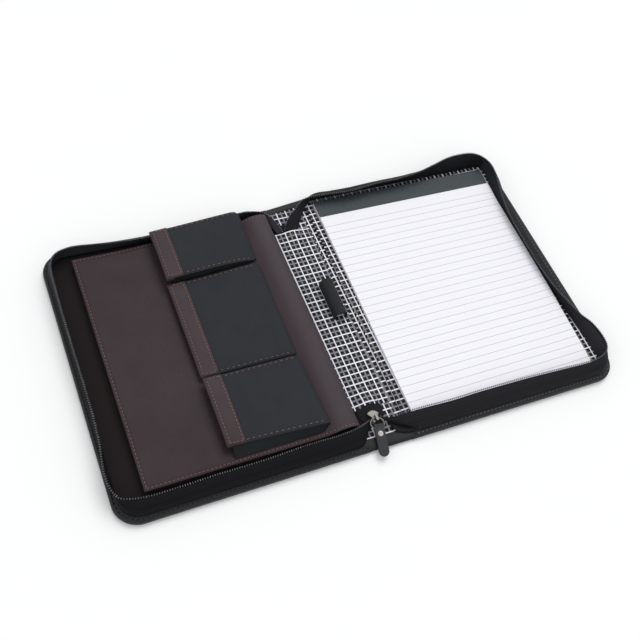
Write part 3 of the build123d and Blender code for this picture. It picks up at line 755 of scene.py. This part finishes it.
for half, side, line, gusset_finish, tape_finish, bend_from, bend_to in (
    ("right", 1, (RIGHT_TEETH, RIGHT_FOOT, RIGHT_HEAD), gusset_cloth, tape_cloth, 0.026, 0.009),
    ("left", -1, (LEFT_TEETH, LEFT_FOOT, LEFT_HEAD), painted_shade_gusset_cloth, painted_shade_tape_cloth, 0.034, 0.018),
):
    edge = ZipEdge(side, *line)
    whole = edge.lengths[-1]
    flip = Vector((side, 1, 1))
    columns = [edge.column(whole * k / ZIP_COLS) for k in range(ZIP_COLS + 1)]

    def lay_band(name, rows, low, high, thickness):
        """A band of the zip's cloth. The right foot end is creased where it turns to the spine."""

        def place(column, v):
            base, belly, top = column[:3]
            v = low + (high - low) * v
            spot = bow(base, belly, top, v)
            if side > 0 and base.y < 0 and base.x < CREASE_TO:
                crease = 0.66 * (1 - (base.x - CREASE_FROM) / (CREASE_TO - CREASE_FROM))
                depth = CREASE_DEPTH * math.exp(-(((v - crease) / CREASE_HALF) ** 2))
                depth *= swell(base.x - 17, 19) * min(1.0, 4 * v)
                spot = spot + Vector((0, depth, -0.55 * depth))
            return spot * flip

        return thicken(lay_sheet(name, columns, rows, place), thickness, even=False)

    gusset = lay_band(half + "_gusset", 9, 0, GUSSET_TO, 1.3)
    ends = (half + "_foot_zip_tail", half + "_head_zip_tail")
    dress(gusset, gusset_finish, "zip_cloth", half + "_gusset", *ends)
    tape = lay_band(half + "_zip_tape", 7, TAPE_FROM, TAPE_TO, 0.7)
    dress(tape, tape_finish, "zip_cloth", half + "_zip_tape")
    if side > 0:

        def facing_place(u, v):
            base, belly, top, ahead, run = edge.column(whole * (FACING_FROM + FACING_SPAN * u))
            seam = Vector((*settle(side, *along_edge(run, seam_inset(run))[0].xy), FACING_Z))
            high = bow(base, belly, top, FACING_TOP)
            middle = seam.lerp(high, 0.5) + Vector((0, 0, 0.18 * (high.z - seam.z)))
            return bow(seam, middle, high, v)

        facing = thicken(lay_sheet("right_gusset_facing", 180, 6, facing_place), 0.7, even=False)
        dress(facing, facing_cloth, "zip_cloth", body="right_half")
    bpy.ops.mesh.primitive_cube_add(size=MM)
    tooth = bpy.context.object
    tooth.scale = TOOTH_SIZE
    bpy.ops.object.transform_apply()
    round_edges(tooth, lambda a, b: abs(a.x - b.x) < 0.1, 0.3, 1)
    places = []
    for k in range(int(whole / TOOTH_PITCH)):
        base, belly, top, ahead, run = edge.column((k + 0.75 - 0.25 * side) * TOOTH_PITCH)
        up = (top - belly).normalized()
        places.append(stand((top - up * 0.4) * flip, ahead * flip, up * flip))
    teeth = dress(copies(half + "_zip_teeth", tooth, places), dark_nickel, "nickel", half + "_zip_teeth")
    for piece in (gusset, tape, teeth):
        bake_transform(piece)

# Spine strip: a checked cotton strip sewn over the spine from fold to fold.
# Its head and foot hems arch up where the ends of the zip pass under them.
STRIP_LEFT, STRIP_RIGHT, STRIP_FOOT, STRIP_HEAD = -24.4, 15.6, -107.2, 107.6
STRIP_Z, ARCH_X, FOOT_BOW = 4.55, -7, 2.2
strip_check = check_cloth("strip_check", -22.8, 107.0, 10.5, 11.03, slope=0.0105)


def strip_top(x, y):
    foot = swell(x - ARCH_X, 15) * swell(y - STRIP_FOOT, 26) * 4.2
    head = swell(x + 5, 15) * swell(STRIP_HEAD - y, 18) * 2.6
    return STRIP_Z + max(foot, head)


def lay_strip(name, x0, x1):
    def place(u, v):
        x = x0 + u * (x1 - x0)
        y = STRIP_FOOT + v * (STRIP_HEAD - STRIP_FOOT) + FOOT_BOW * swell(x - ARCH_X, 14) * (1 - v)
        return x, y, strip_top(x, y)

    return thicken(lay_sheet(name, 18, 90, place), 0.9)


for half, side, x0, x1 in (("right", 1, 0.0, STRIP_RIGHT), ("left", -1, STRIP_LEFT, 0.0)):
    strip = dress(lay_strip("spine_strip_" + half, x0, x1), strip_check, "check_cloth", "spine_strip")
    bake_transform(strip)

red_thread = thread("red_thread", ink(104, 74, 70), ink(154, 116, 109))
hem_lines = []
for hem_y, arched in ((STRIP_FOOT + 4, FOOT_BOW), (STRIP_HEAD - 4, 0)):
    row = [-14.5 + 29 * k / 20 for k in range(21)]
    row = [(x, hem_y + arched * swell(x - ARCH_X, 14)) for x in row]
    hem_lines.append([(x, y, strip_top(x, y) + 0.45) for x, y in row])
dress(sew("strip_hem_stitches", hem_lines, 3.6), red_thread, "check_cloth", body="spine")
seam_line = [(24.6, -116, 5.6), (24.6, 130, 5.6)]
dress(sew("strip_seam_stitches", [seam_line], 5.2, lean=14), red_thread, "check_cloth", body="right_half")

# Zip tabs: two black cloth tongues that hold the ends of the zip under the strip's hems.
# They are sewn to the spine's lining, and the slider rests over the foot one.


def lay_tab(name, wide, narrow, y_hem, y_end, z_hem, z_end):
    def place(u, v):
        x0, x1 = (w * (1 - v) + n * v for w, n in zip(wide, narrow))
        arch = math.sin(math.pi * u)
        bowed = (1 - v) * 3.0 * (1 - arch) * (1 if y_end > y_hem else -1)
        y = y_hem + (y_end - y_hem) * v + bowed
        return x0 + u * (x1 - x0), y, z_hem * arch * (1 - v) + z_end * v + 4.5

    return thicken(lay_sheet(name, 16, 14, place), 0.8)


for name, flat, form in (
    ("foot_zip_tab", (0.0235, 0.022), ((-22, 6), (-17, 2), -105.5, -127.5, 3.4, 0.1)),
    ("head_zip_tab", (0.0175, 0.012), ((-15, 3), (-15, 1), 106.2, 118.0, 1.6, 0.2)),
):
    tab = dress(lay_tab(name, *form), tape_cloth, "zip_cloth", name)
    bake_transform(tab)

# Pen loop: a flat black elastic band sewn to the strip by its two edges.
# Empty, it keeps a round arch.
LOOP_X, LOOP_Y0, LOOP_Y1, LOOP_FOOT, LOOP_FOOT_Z = 4.35, -6.9, 36.1, 6.6, 5.5
elastic, tree, shader, spot = new_finish("elastic", 0.75, 0.2)
cords = {"Vector": spot, "Scale": 330.0, "Distortion": 0.6}
cord = add_node(tree, "TexWave", cords, bands_direction="Y").outputs["Fac"]
tree.links.new(mix_ink(tree, cord, ink(24, 25, 27), ink(44, 46, 49)), shader["Base Color"])
emboss(tree, shader, cord, 0.6, 0.0003)


def loop_place(u, v):
    turn = math.pi * (1.18 - 1.36 * u)
    sag = 1 - 0.06 * math.sin(math.pi * v) ** 2
    x, z = LOOP_X + 6.3 * math.cos(turn), 10.1 + 6.2 * math.sin(turn) * sag
    if u < 0.08 or u > 0.92:
        x, z = LOOP_X + (-LOOP_FOOT if u < 0.5 else LOOP_FOOT) + (0.5 - u) * 1.0, LOOP_FOOT_Z
    return x, LOOP_Y0 + v * (LOOP_Y1 - LOOP_Y0), z


pen_loop = thicken(lay_sheet("pen_loop", 26, 22, loop_place), 1.1)
dress(pen_loop, elastic, "elastic", "pen_loop", body="spine")
loop_lines = [[(LOOP_X + dx, y, 6.2) for y in (LOOP_Y0 + 1, LOOP_Y1 - 1)] for dx in (-6.3, 6.3)]
dress(sew("loop_stitches", loop_lines, 3.4), black_thread, "elastic", body="spine")

# Pad slot: a second checked cloth over the right cover, open at the head behind the pad.
# It is sewn down round its edges, and the pad's card back slips into it.
SLOT_Z, MOUTH_X0, MOUTH_X1, MOUTH_Y, SLOT_FOOT = 5.3, 30.6, 247.3, 70.6, -137.5
slot_x = [22.0, 26.0, MOUTH_X0, 60, 140, 200, MOUTH_X1, 252, 257, 260, 262.5, 264, LINING_OUT]
slot_rows = [-1 + 2 * k / 30 for k in range(31)]
slot_check = check_cloth("slot_check", 28.6, 100.8, 10.69, 11.07, slope=0.0275)


def slot_place(x, row):
    y = row * inside_y(x, LAID_IN)
    return *settle(1, x, max(y, SLOT_FOOT) if x < 40 else y), SLOT_Z


def at_mouth(*corners):
    middle = sum(corners, Vector((0, 0, 0))) / len(corners)
    return MOUTH_X0 < middle.x < MOUTH_X1 and middle.y > MOUTH_Y


def cut_away(piece, test):
    choose(piece, "FACE", test)
    bpy.ops.mesh.delete(type="FACE")
    bpy.ops.object.mode_set(mode="OBJECT")


slot_panel = lay_sheet("pad_slot_panel", slot_x, slot_rows, slot_place)
cut_away(slot_panel, at_mouth)
dress(thicken(slot_panel, 0.6), slot_check, "check_cloth", "pad_slot_panel", body="right_half")

# Writing pad: a card back, a block of ruled sheets and a dark paper binding over the head edge.
# The top sheet is a piece of its own and turns over the binding.
PAD_X0, PAD_X1, PAD_Y0, LEAF_Y, LEAF_Z = 31.0, 246.9, -143.8, 115.0, 8.76
RULE_PITCH, FIRST_RULE_Y = 8.7, 101.6


def paper(name, ruled):
    """Paper ruled across, or the cut edges of many leaves."""
    finish, tree, shader, spot = new_finish(name, 0.75, 0.2)
    fibre = flecks(tree, spot, 700.0, 5.0)
    colour = mix_ink(tree, fibre, ink(241, 240, 246), ink(248, 247, 253))
    x, y, z = parts(tree, spot)
    if ruled:
        rows = reckon(tree, "DIVIDE", reckon(tree, "SUBTRACT", FIRST_RULE_Y * MM, y), RULE_PITCH * MM)
        near = reckon(tree, "COMPARE", reckon(tree, "FRACT", reckon(tree, "ADD", rows, 0.5)), 0.5, 0.034)
        mark = reckon(tree, "MULTIPLY", near, reckon(tree, "GREATER_THAN", rows, -0.5))
    else:
        leaf = reckon(tree, "FRACT", reckon(tree, "MULTIPLY", z, 5200.0))
        mark = reckon(tree, "MULTIPLY", leaf, 0.15)
    mark_ink = ink(196, 195, 206) if ruled else ink(208, 207, 213)
    tree.links.new(mix_ink(tree, mark, colour, mark_ink), shader["Base Color"])
    emboss(tree, shader, fibre, 0.15, 0.0001)
    return finish


def show(node, finish):
    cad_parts[node].material_slots[0].material = finish


ruled_paper = paper("ruled_paper", True)
show("pad_sheets", paper("cut_paper", False))
show("pad_board", flecked("pale_card", 0.85, 0.15, 900.0, 4.0, ink(176, 174, 173), ink(204, 202, 201)))
slate_dark, slate_light = ink(44, 50, 54), ink(62, 69, 73)
show("pad_binding", flecked("slate_tape", 0.55, 0.28, 260.0, 5.0, slate_dark, slate_light, 0.35, 0.0003))


def leaf_place(u, v):
    x = PAD_X0 + u * (PAD_X1 - PAD_X0)
    y = PAD_Y0 + v * (LEAF_Y - PAD_Y0)
    curl = 2.2 * swell(1 - u, 0.14) * swell(v - 0.45, 0.55)
    return x, y, LEAF_Z + curl + 0.25 * noise.noise(Vector((x, y, 0)) * 0.012) ** 2


top_sheet = thicken(lay_sheet("pad_top_sheet", 40, 40, leaf_place), 0.3)
dress(top_sheet, ruled_paper, "white_paper", "pad_top_sheet", body="top_sheet")

# Leather sleeve: a brown leather panel over the left cover, open along its outer edge.
# Its spine side rolls down to the lining, its head and foot sides are pleated, and it is edge-sewn.
SLEEVE_X0, SLEEVE_X1, SLEEVE_Y0, SLEEVE_Y1 = 26.2, 235.5, -125.5, 128.5
SLEEVE_RISE, SLEEVE_Z, SEAM_IN = 30.0, 12.2, 2.6
PLEAT_FROM, PLEAT_L = -229.5, 172.5
brown_leather = leather("brown_leather", ink(41, 29, 33), ink(53, 41, 45), 620.0, 0.0001, 0.2)
# The sleeve's leather is painted lighter over its spine-side roll, as a painted sheen where the head-right
# lamp catches it.
paint_light_ramp(brown_leather, 0, -0.064, -0.044, 0.55, ink(70, 61, 66))
trim_leather = leather("trim_leather", ink(44, 32, 35), ink(58, 45, 49), 620.0, 0.00008, 0.24)
# The pleated sides are a darker copy of the sleeve's brown leather, as painted shade.
painted_shade_pleat_leather = leather("painted_shade_pleat_leather", ink(34, 27, 28), ink(48, 39, 41), 620.0, 0.0001, 0.25)

edge_steps = [0.0, 0.5, 1.2, 2.0, 2.6, 3.2, 4.0, 5.5, 9.0]
rise_steps = [26.25, 26.4, 26.7, 27.2, 28.0, 29.0, 30.2, 31.8, 33.8, 36.2, 39.2, 41.6, 44, 46.5, 49, 51.5]
sleeve_x = rise_steps + [54, 57, 60, 63, 66, 70, 85, 100, 120, 140, 160, 180, 200, 215]
sleeve_x += [SLEEVE_X1 - s for s in reversed(edge_steps)]
sleeve_y = [SLEEVE_Y0 + s for s in edge_steps] + [SLEEVE_Y0 + 9 + 235.5 * k / 24 for k in range(1, 24)]
sleeve_y += [SLEEVE_Y1 - s for s in reversed(edge_steps)]

roll_points = ((26.2, 4.9), (26.45, 9.8), (27.3, 13.8), (30.4, 16.9), (36, 18.4), (42, 18.2))
roll_points += ((48, 17.0), (54, 14.6), (60, 12.6), (66, 12.2))
roll_line = [Vector(p) for p in roll_points]


def roll_height(x):
    """The height of the rolled spine side at a distance x left of the spine's middle."""
    low, high = 0.0, 1.0
    for _ in range(24):
        middle = (low + high) / 2
        low, high = (middle, high) if ease(roll_line, middle).x < x else (low, middle)
    return ease(roll_line, low).y


def sleeve_top(x, y):
    """The height of the leather at a distance x left of the spine's middle."""
    share = min(1.0, (x - SLEEVE_X0) / SLEEVE_RISE)
    height = roll_height(max(SLEEVE_X0 + 0.05, x)) if x < 65 else SLEEVE_Z
    edge = min(SLEEVE_X1 - x, y - SLEEVE_Y0, SLEEVE_Y1 - y)
    groove = 0.4 * math.exp(-(((edge - SEAM_IN) / 0.7) ** 2)) + 0.4 * math.exp(-edge / 0.4)
    slack = 0.7 * noise.noise(Vector((x, y, 0)) * 0.018) * within(edge / 25)
    return height - groove * min(1.0, share * 2) + slack * share


def head_slant(x, y):
    """The sleeve's head edge runs in a little towards its outer corner."""
    return y - 5.0 * within((x - 60) / 130) * max(0.0, y / SLEEVE_Y1)


def dress_soft(piece, finish, slot, *nodes):
    """Dresses a piece of the left cover, puts it on that half's body and gives it a mesh of its own."""
    dress(piece, finish, slot, *nodes, body="left_half")
    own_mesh(piece)
    return piece


def thicken_down(piece, thickness):
    return thicken(piece, thickness, offset=-1.0 if piece.data.polygons[0].normal.z > 0 else 1.0)


def sleeve_place(x, y):
    draw_in = 1.8 * max(0.0, y / SLEEVE_Y1) * swell(x - SLEEVE_X0, 34)
    return -x - draw_in, head_slant(x, y), sleeve_top(x, y)


sleeve = thicken_down(lay_sheet("tablet_sleeve_panel", sleeve_x, sleeve_y, sleeve_place), 1.6)
dress_soft(sleeve, brown_leather, "brown_leather", "tablet_sleeve_panel")


def along_line(a, b, parts):
    return [(a[0] + (b[0] - a[0]) * k / parts, a[1] + (b[1] - a[1]) * k / parts) for k in range(parts + 1)]


edge_line = [(-32, SLEEVE_Y0 + SEAM_IN), (-SLEEVE_X1 + SEAM_IN, SLEEVE_Y0 + SEAM_IN)]
edge_line += [(x, -y + SLEEVE_Y0 + SLEEVE_Y1) for x, y in reversed(edge_line)]
sleeve_seam = []
for a, b in zip(edge_line, edge_line[1:]):
    line = along_line(a, b, 40)
    sleeve_seam.append([(x, head_slant(-x, y), sleeve_top(-x, y) + 0.15) for x, y in line])
dress_soft(sew("sleeve_stitches", sleeve_seam, 3.9), red_thread, "brown_leather")


def lay_pleat(name, edge_y, toward):
    def place(u, v):
        x = PLEAT_FROM + u * PLEAT_L
        limp = 0.5 * noise.noise(Vector((x, edge_y, 0)) * 0.03)
        y = edge_y + toward * (3.4 - 2.2 * math.cos(v * 3 * math.pi) + limp)
        return x, head_slant(-x, y), 4.3 + v * 6.2

    return thicken(lay_sheet(name, 40, 24, place), 0.7)


for name, edge_y, toward in (("sleeve_foot_pleat", SLEEVE_Y0, 1), ("sleeve_head_pleat", SLEEVE_Y1, -1)):
    pleat = dress_soft(lay_pleat(name, edge_y, toward), painted_shade_pleat_leather, "brown_leather", name)

# Pockets: three black twill pockets side by side on the sleeve, open towards its outer edge.
# Each is a soft box with standing sides, bound at the mouth with a sewn band of brown leather.
POCKET_X0, POCKET_X1, POCKET_FOOT = 57.2, 155.4, SLEEVE_Z + 0.7
TRIM_X, NEAR_ROW, FAR_ROW = POCKET_X1 - 17.0, POCKET_X1 - 14.8, POCKET_X1 - 2.4
twill_weave, given, put = new_group(
    "twill_weave",
    {"Vector": "Vector", "Dark": "Color", "Light": "Color"},
    {"Color": "Color", "Height": "Float"},
)
tree = twill_weave
turned = {"Vector": given["Vector"], "Rotation": (0, 0, math.radians(3))}
ribs = {"Vector": add_node(tree, "Mapping", turned).outputs[0], "Detail": 1.0}
rib = add_node(tree, "TexWave", {**ribs, "Scale": 230.0, "Distortion": 0.5}).outputs["Fac"]
ribs |= {"Scale": 200.0, "Distortion": 1.2}
dash = add_node(tree, "TexWave", ribs, bands_direction="DIAGONAL").outputs["Fac"]
height = reckon(tree, "MULTIPLY_ADD", dash, 0.3, rib)
worn = flecks(tree, given["Vector"], 45.0, 3.0)
share = reckon(tree, "MULTIPLY_ADD", worn, 0.24, reckon(tree, "MULTIPLY", height, 0.48))
tree.links.new(mix_ink(tree, share, given["Dark"], given["Light"]), put["Color"])
tree.links.new(height, put["Height"])


def twill(name, dark, light):
    finish, tree, shader, spot = new_finish(name, 0.75, 0.2)
    ins = {"Vector": spot, "Dark": dark, "Light": light}
    weave = add_node(tree, "Group", ins, node_tree=twill_weave).outputs
    tree.links.new(weave["Color"], shader["Base Color"])
    emboss(tree, shader, weave["Height"], 0.7, 0.0003)
    return finish


twill_cloth = twill("twill_cloth", ink(18, 19, 22), ink(58, 60, 65))
# The pockets' standing sides are a darker copy of the same twill, as painted shade.
painted_shade_side_cloth = twill("painted_shade_side_cloth", ink(20, 21, 23), ink(38, 40, 43))
front_steps = [0, 0.6, 1.6, 3.0, 4.6, 6.4, 8.4, 10.6, 13, 16, 22, 32, 45, 58, 70, 80, 88, 94, 98.2]
front_steps = [POCKET_X0 + s for s in front_steps]
side_steps = [0, 0.5, 1.2, 2.2, 3.4, 5.0]
# The trim's section: the place in x, and how far it lies over the cloth.
trim_line = [(TRIM_X, 0.15), (TRIM_X + 0.3, 0.75), (POCKET_X1 - 12, 0.85), (POCKET_X1 - 6, 0.85)]
trim_line += [(POCKET_X1 - 1, 0.8), (POCKET_X1 + 0.4, 0.4), (POCKET_X1 + 0.8, -0.6), (POCKET_X1 + 0.3, -1.6)]
trim_line += [(POCKET_X1 - 1, -1.9), (POCKET_X1 - 8, -1.9)]


def make_pocket(name, y0, y1, top_z, foot_flare=0.0, head_flare=0.0, splay=0.0, low=0.0, foot_reach=0.0):
    """One pocket from y0 to y1 whose cloth stands at top_z.
    Its spine end may be flared, its foot side splayed and its foot corner left low."""
    rows = [y0 + s for s in side_steps] + [y0 + 5 + (y1 - y0 - 10) * k / 12 for k in range(1, 12)]
    rows += [y1 - s for s in reversed(side_steps)]

    def shares(x, y):
        """How near the spine end a point lies, and how far across from the foot side."""
        return 1 - within((x - POCKET_X0) / 98), (y - y0) / (y1 - y0)

    def flare(x, y):
        share, across = shares(x, y)
        return y + share * (head_flare * across - foot_flare * (1 - across))

    def reach(x, y):
        share, across = shares(x, y)
        return -x + foot_reach * share * (1 - across)

    def cloth_top(x, y):
        rise = min(1.0, (x - POCKET_X0) / (13.0 + low * ((y1 - y) / (y1 - y0)) ** 2))
        edge = min(y - y0, y1 - y)
        puff = 0.8 * min(1.0, edge / 20) * min(1.0, (x - POCKET_X0) / 30)
        limp = 0.5 * noise.noise(Vector((x, y, top_z)) * 0.025)
        full = POCKET_FOOT + (top_z - POCKET_FOOT) * math.sqrt(1 - (1 - rise) ** 2)
        return full - 1.1 * math.exp(-edge / 0.9) * rise + (puff + limp) * rise

    def front_place(x, y):
        corner, middle = max(0.0, 1 - (x - POCKET_X0) / 7.0), (y0 + y1) / 2
        drawn = middle + (y - middle) * (1 - 5.6 * corner**2 / (y1 - y0))
        return reach(x, y), flare(x, drawn), cloth_top(x, y)

    front = thicken_down(lay_sheet(name + "_pocket_front", front_steps, rows, front_place), 1.1)
    dress_soft(front, twill_cloth, "twill_cloth", name + "_pocket_front")

    def side_place(u, v):
        x = POCKET_X0 + 1.5 + u * (POCKET_X1 - POCKET_X0 - 6)
        at_foot = v < 0.5
        climb = v * 2 if v <= 0.5 else (1 - v) * 2
        y = (y0 + 1.2) if at_foot else (y1 - 1.2)
        roof = cloth_top(x, y) - 1.2
        y = flare(x, y)
        if at_foot and splay:
            y += (y0 - splay - y) * (1 - climb) ** 1.3 * (1 - swell(x - POCKET_X0, 10))
        else:
            y += (1 if at_foot else -1) * 2.6 * math.sin(math.pi * climb) ** 2
        return reach(x, y0 if at_foot else y1), y, POCKET_FOOT + (roof - POCKET_FOOT) * climb

    def between(*corners):
        span = [corner.y for corner in corners]
        return max(span) - min(span) > (y1 - y0) / 2

    walls = lay_sheet(name + "_pocket_sides", 30, 29, side_place)
    cut_away(walls, between)
    dress_soft(thicken(walls, 0.9), painted_shade_side_cloth, "twill_cloth", name + "_pocket_sides")

    def trim_place(corner, y):
        x, over = corner
        return -x, flare(x, y), cloth_top(min(x, POCKET_X1), y) + over

    trim = thicken(lay_sheet(name + "_pocket_trim", trim_line, rows, trim_place), 0.9)
    dress_soft(trim, trim_leather, "brown_leather", name + "_pocket_trim")

    def row(a, b, over):
        return [(reach(x, y), flare(x, y), cloth_top(x, y) + over) for x, y in along_line(a, b, 20)]

    seams = [row((x, y0 + 2), (x, y1 - 2), 1.35) for x in (NEAR_ROW, FAR_ROW)]
    seams += [row((NEAR_ROW, y), (FAR_ROW, y), 1.35) for y in (y0 + 2.2, y1 - 2.2)]
    dress_soft(sew(name + "_trim_stitches", seams, 3.6), red_thread, "brown_leather")
    seams = [row((POCKET_X0 + 7, y), (NEAR_ROW - 3, y), 0.12) for y in (y0 + 2.6, y1 - 2.6)]
    dress_soft(sew(name + "_pocket_stitches", seams, 5.6), red_thread, "brown_leather")


make_pocket("foot", -111.0, -40.6, 22.6, foot_flare=5.5, splay=9.5, foot_reach=4.0)
make_pocket("middle", -37.8, 68.0, 18.4, head_flare=4.4)
make_pocket("head", 70.0, 128.4, 25.6, foot_flare=-6.5, head_flare=6.0, low=75.0)

# Zip slider: a cast nickel slider with a shield-shaped plate and a loop for the pull.
# The pull is a bent-wire ring, a folded black leather tab and one domed rivet.
SLIDER_X, SLIDER_Y, SLIDER_TURN = -8.8, -119.6, math.radians(-13)
TAB_YAW, TAB_DROP, TAB_EYE = math.radians(-10), math.radians(7), Vector((-8.4, -132.394, 9.383))
TAB_HALF, TAB_END, RIVET_Y = 5.1, -22.2, -5.2


def cut_plate(name, outline, z0, z1, soften):
    """A plate cut to an outline and raised from z0 to z1, with softened edges."""
    bpy.ops.mesh.primitive_circle_add(vertices=len(outline), radius=1, fill_type="NGON")
    plate = bpy.context.object
    plate.name = plate.data.name = name
    for point, (x, y) in zip(plate.data.vertices, outline):
        point.co = Vector((x, y, z0)) * MM
    bpy.ops.object.mode_set(mode="EDIT")
    bpy.ops.mesh.select_all(action="SELECT")
    bpy.ops.mesh.extrude_region_move(TRANSFORM_OT_translate={"value": (0, 0, (z1 - z0) * MM)})
    bpy.ops.mesh.select_all(action="SELECT")
    bpy.ops.mesh.normals_make_consistent(inside=False)
    bpy.ops.object.mode_set(mode="OBJECT")
    round_edges(plate, lambda a, b: abs(a.z - b.z) < 0.01, soften, 3)
    return smooth(plate, 40)


def on_slider(x, y):
    return (
        SLIDER_X + 1.06 * x * math.cos(SLIDER_TURN) - y * math.sin(SLIDER_TURN),
        SLIDER_Y + x * math.sin(SLIDER_TURN) + y * math.cos(SLIDER_TURN),
    )


half_shield = [(0.0, 7.0), (1.6, 6.7), (3.2, 6.0), (4.6, 5.0), (5.6, 3.9), (5.4, 3.0), (4.4, 2.0)]
half_shield += [(3.2, 0.9), (2.0, -0.2), (1.4, -1.6), (1.3, -4.9), (0.8, -5.6), (0.0, -5.7)]
shield = half_shield + [(-x, y) for x, y in reversed(half_shield[1:-1])]
shield = [on_slider(x, y) for x, y in reversed(shield)]
wedge = [on_slider(x, y) for x, y in ((-1.3, 5.0), (-0.8, 2.4), (0.8, 2.4), (1.3, 5.0))]
for name, outline, z0, z1, soften, nodes in (
    ("slider_top_plate", shield, 8.4, 9.75, 0.4, ["slider_body"]),
    ("slider_low_plate", shield, 5.1, 6.2, 0.35, []),
    ("slider_wedge", wedge, 6.1, 8.5, 0.15, []),
):
    dress(cut_plate(name, outline, z0, z1, soften), nickel, "nickel", *nodes, body="slider")
show("slider_bridge", nickel)

bpy.ops.mesh.primitive_torus_add(
    location=(-0.0082, -0.127, 0.01015), rotation=(math.radians(9), 0, TAB_YAW),
    major_segments=44, minor_segments=12, major_radius=0.0056, minor_radius=0.00062,
)
ring = bpy.context.object
ring.name = ring.data.name = "pull_ring"
ring.scale = (1.22, 1.0, 1.0)
bpy.ops.object.transform_apply()
dress(smooth(ring), nickel, "nickel", "pull_ring", body="ring")

half_tab = [(TAB_HALF, 3.4), (TAB_HALF, -6.0), (TAB_HALF, TAB_END)]
for turn in range(12, 90, 13):
    across, down = math.cos(math.radians(turn)), math.sin(math.radians(turn))
    half_tab.append((TAB_HALF * across, TAB_END - TAB_HALF * down))
tab_outline = half_tab + [(0, TAB_END - TAB_HALF)] + [(-x, y) for x, y in reversed(half_tab)]
tab_outline.reverse()


def tilt_tab(piece):
    """Turns a piece made flat about the tab's eye down to the tab's own slope."""
    turn = Matrix.Rotation(TAB_YAW, 4, "Z") @ Matrix.Rotation(TAB_DROP, 4, "X")
    piece.data.transform(Matrix.Translation(TAB_EYE * MM) @ turn)
    return piece


def fold_place(u, v):
    turn = math.radians(-120 + 240 * v)
    return -5.0 + 10 * u, 3.3 + 1.2 * math.cos(turn), 1.15 * math.sin(turn)


rivet_line = [(0.0, 1.35), (0.9, 1.3), (1.25, 1.75), (2.0, 1.95), (2.6, 1.75), (2.95, 1.2)]
rivet_line += [(2.95, 0.6), (1.5, 0.6), (0.0, 0.6)]


def dome_place(u, corner):
    reach, z = corner
    turn = 2 * math.pi * u
    return reach * math.cos(turn), RIVET_Y + reach * math.sin(turn), z


tab_leather = leather("tab_leather", ink(30, 31, 34), ink(48, 50, 54), 800.0, 0.00012, 0.3)
bright_nickel = metal("bright_nickel", ink(144, 141, 136), ink(182, 178, 173), 0.34)
pull_tab = tilt_tab(cut_plate("pull_tab", tab_outline, -1.1, 1.1, 0.35))
dress(pull_tab, tab_leather, "black_leather", "pull_tab", body="tab")
tab_fold = tilt_tab(thicken(lay_sheet("pull_tab_fold", 8, 12, fold_place), 0.9, even=False))
dress(tab_fold, tab_leather, "black_leather", body="tab")
rivet = tilt_tab(close_up(lay_sheet("pull_rivet", 24, rivet_line, dome_place)))
dress(rivet, bright_nickel, "nickel", "pull_rivet", body="tab")
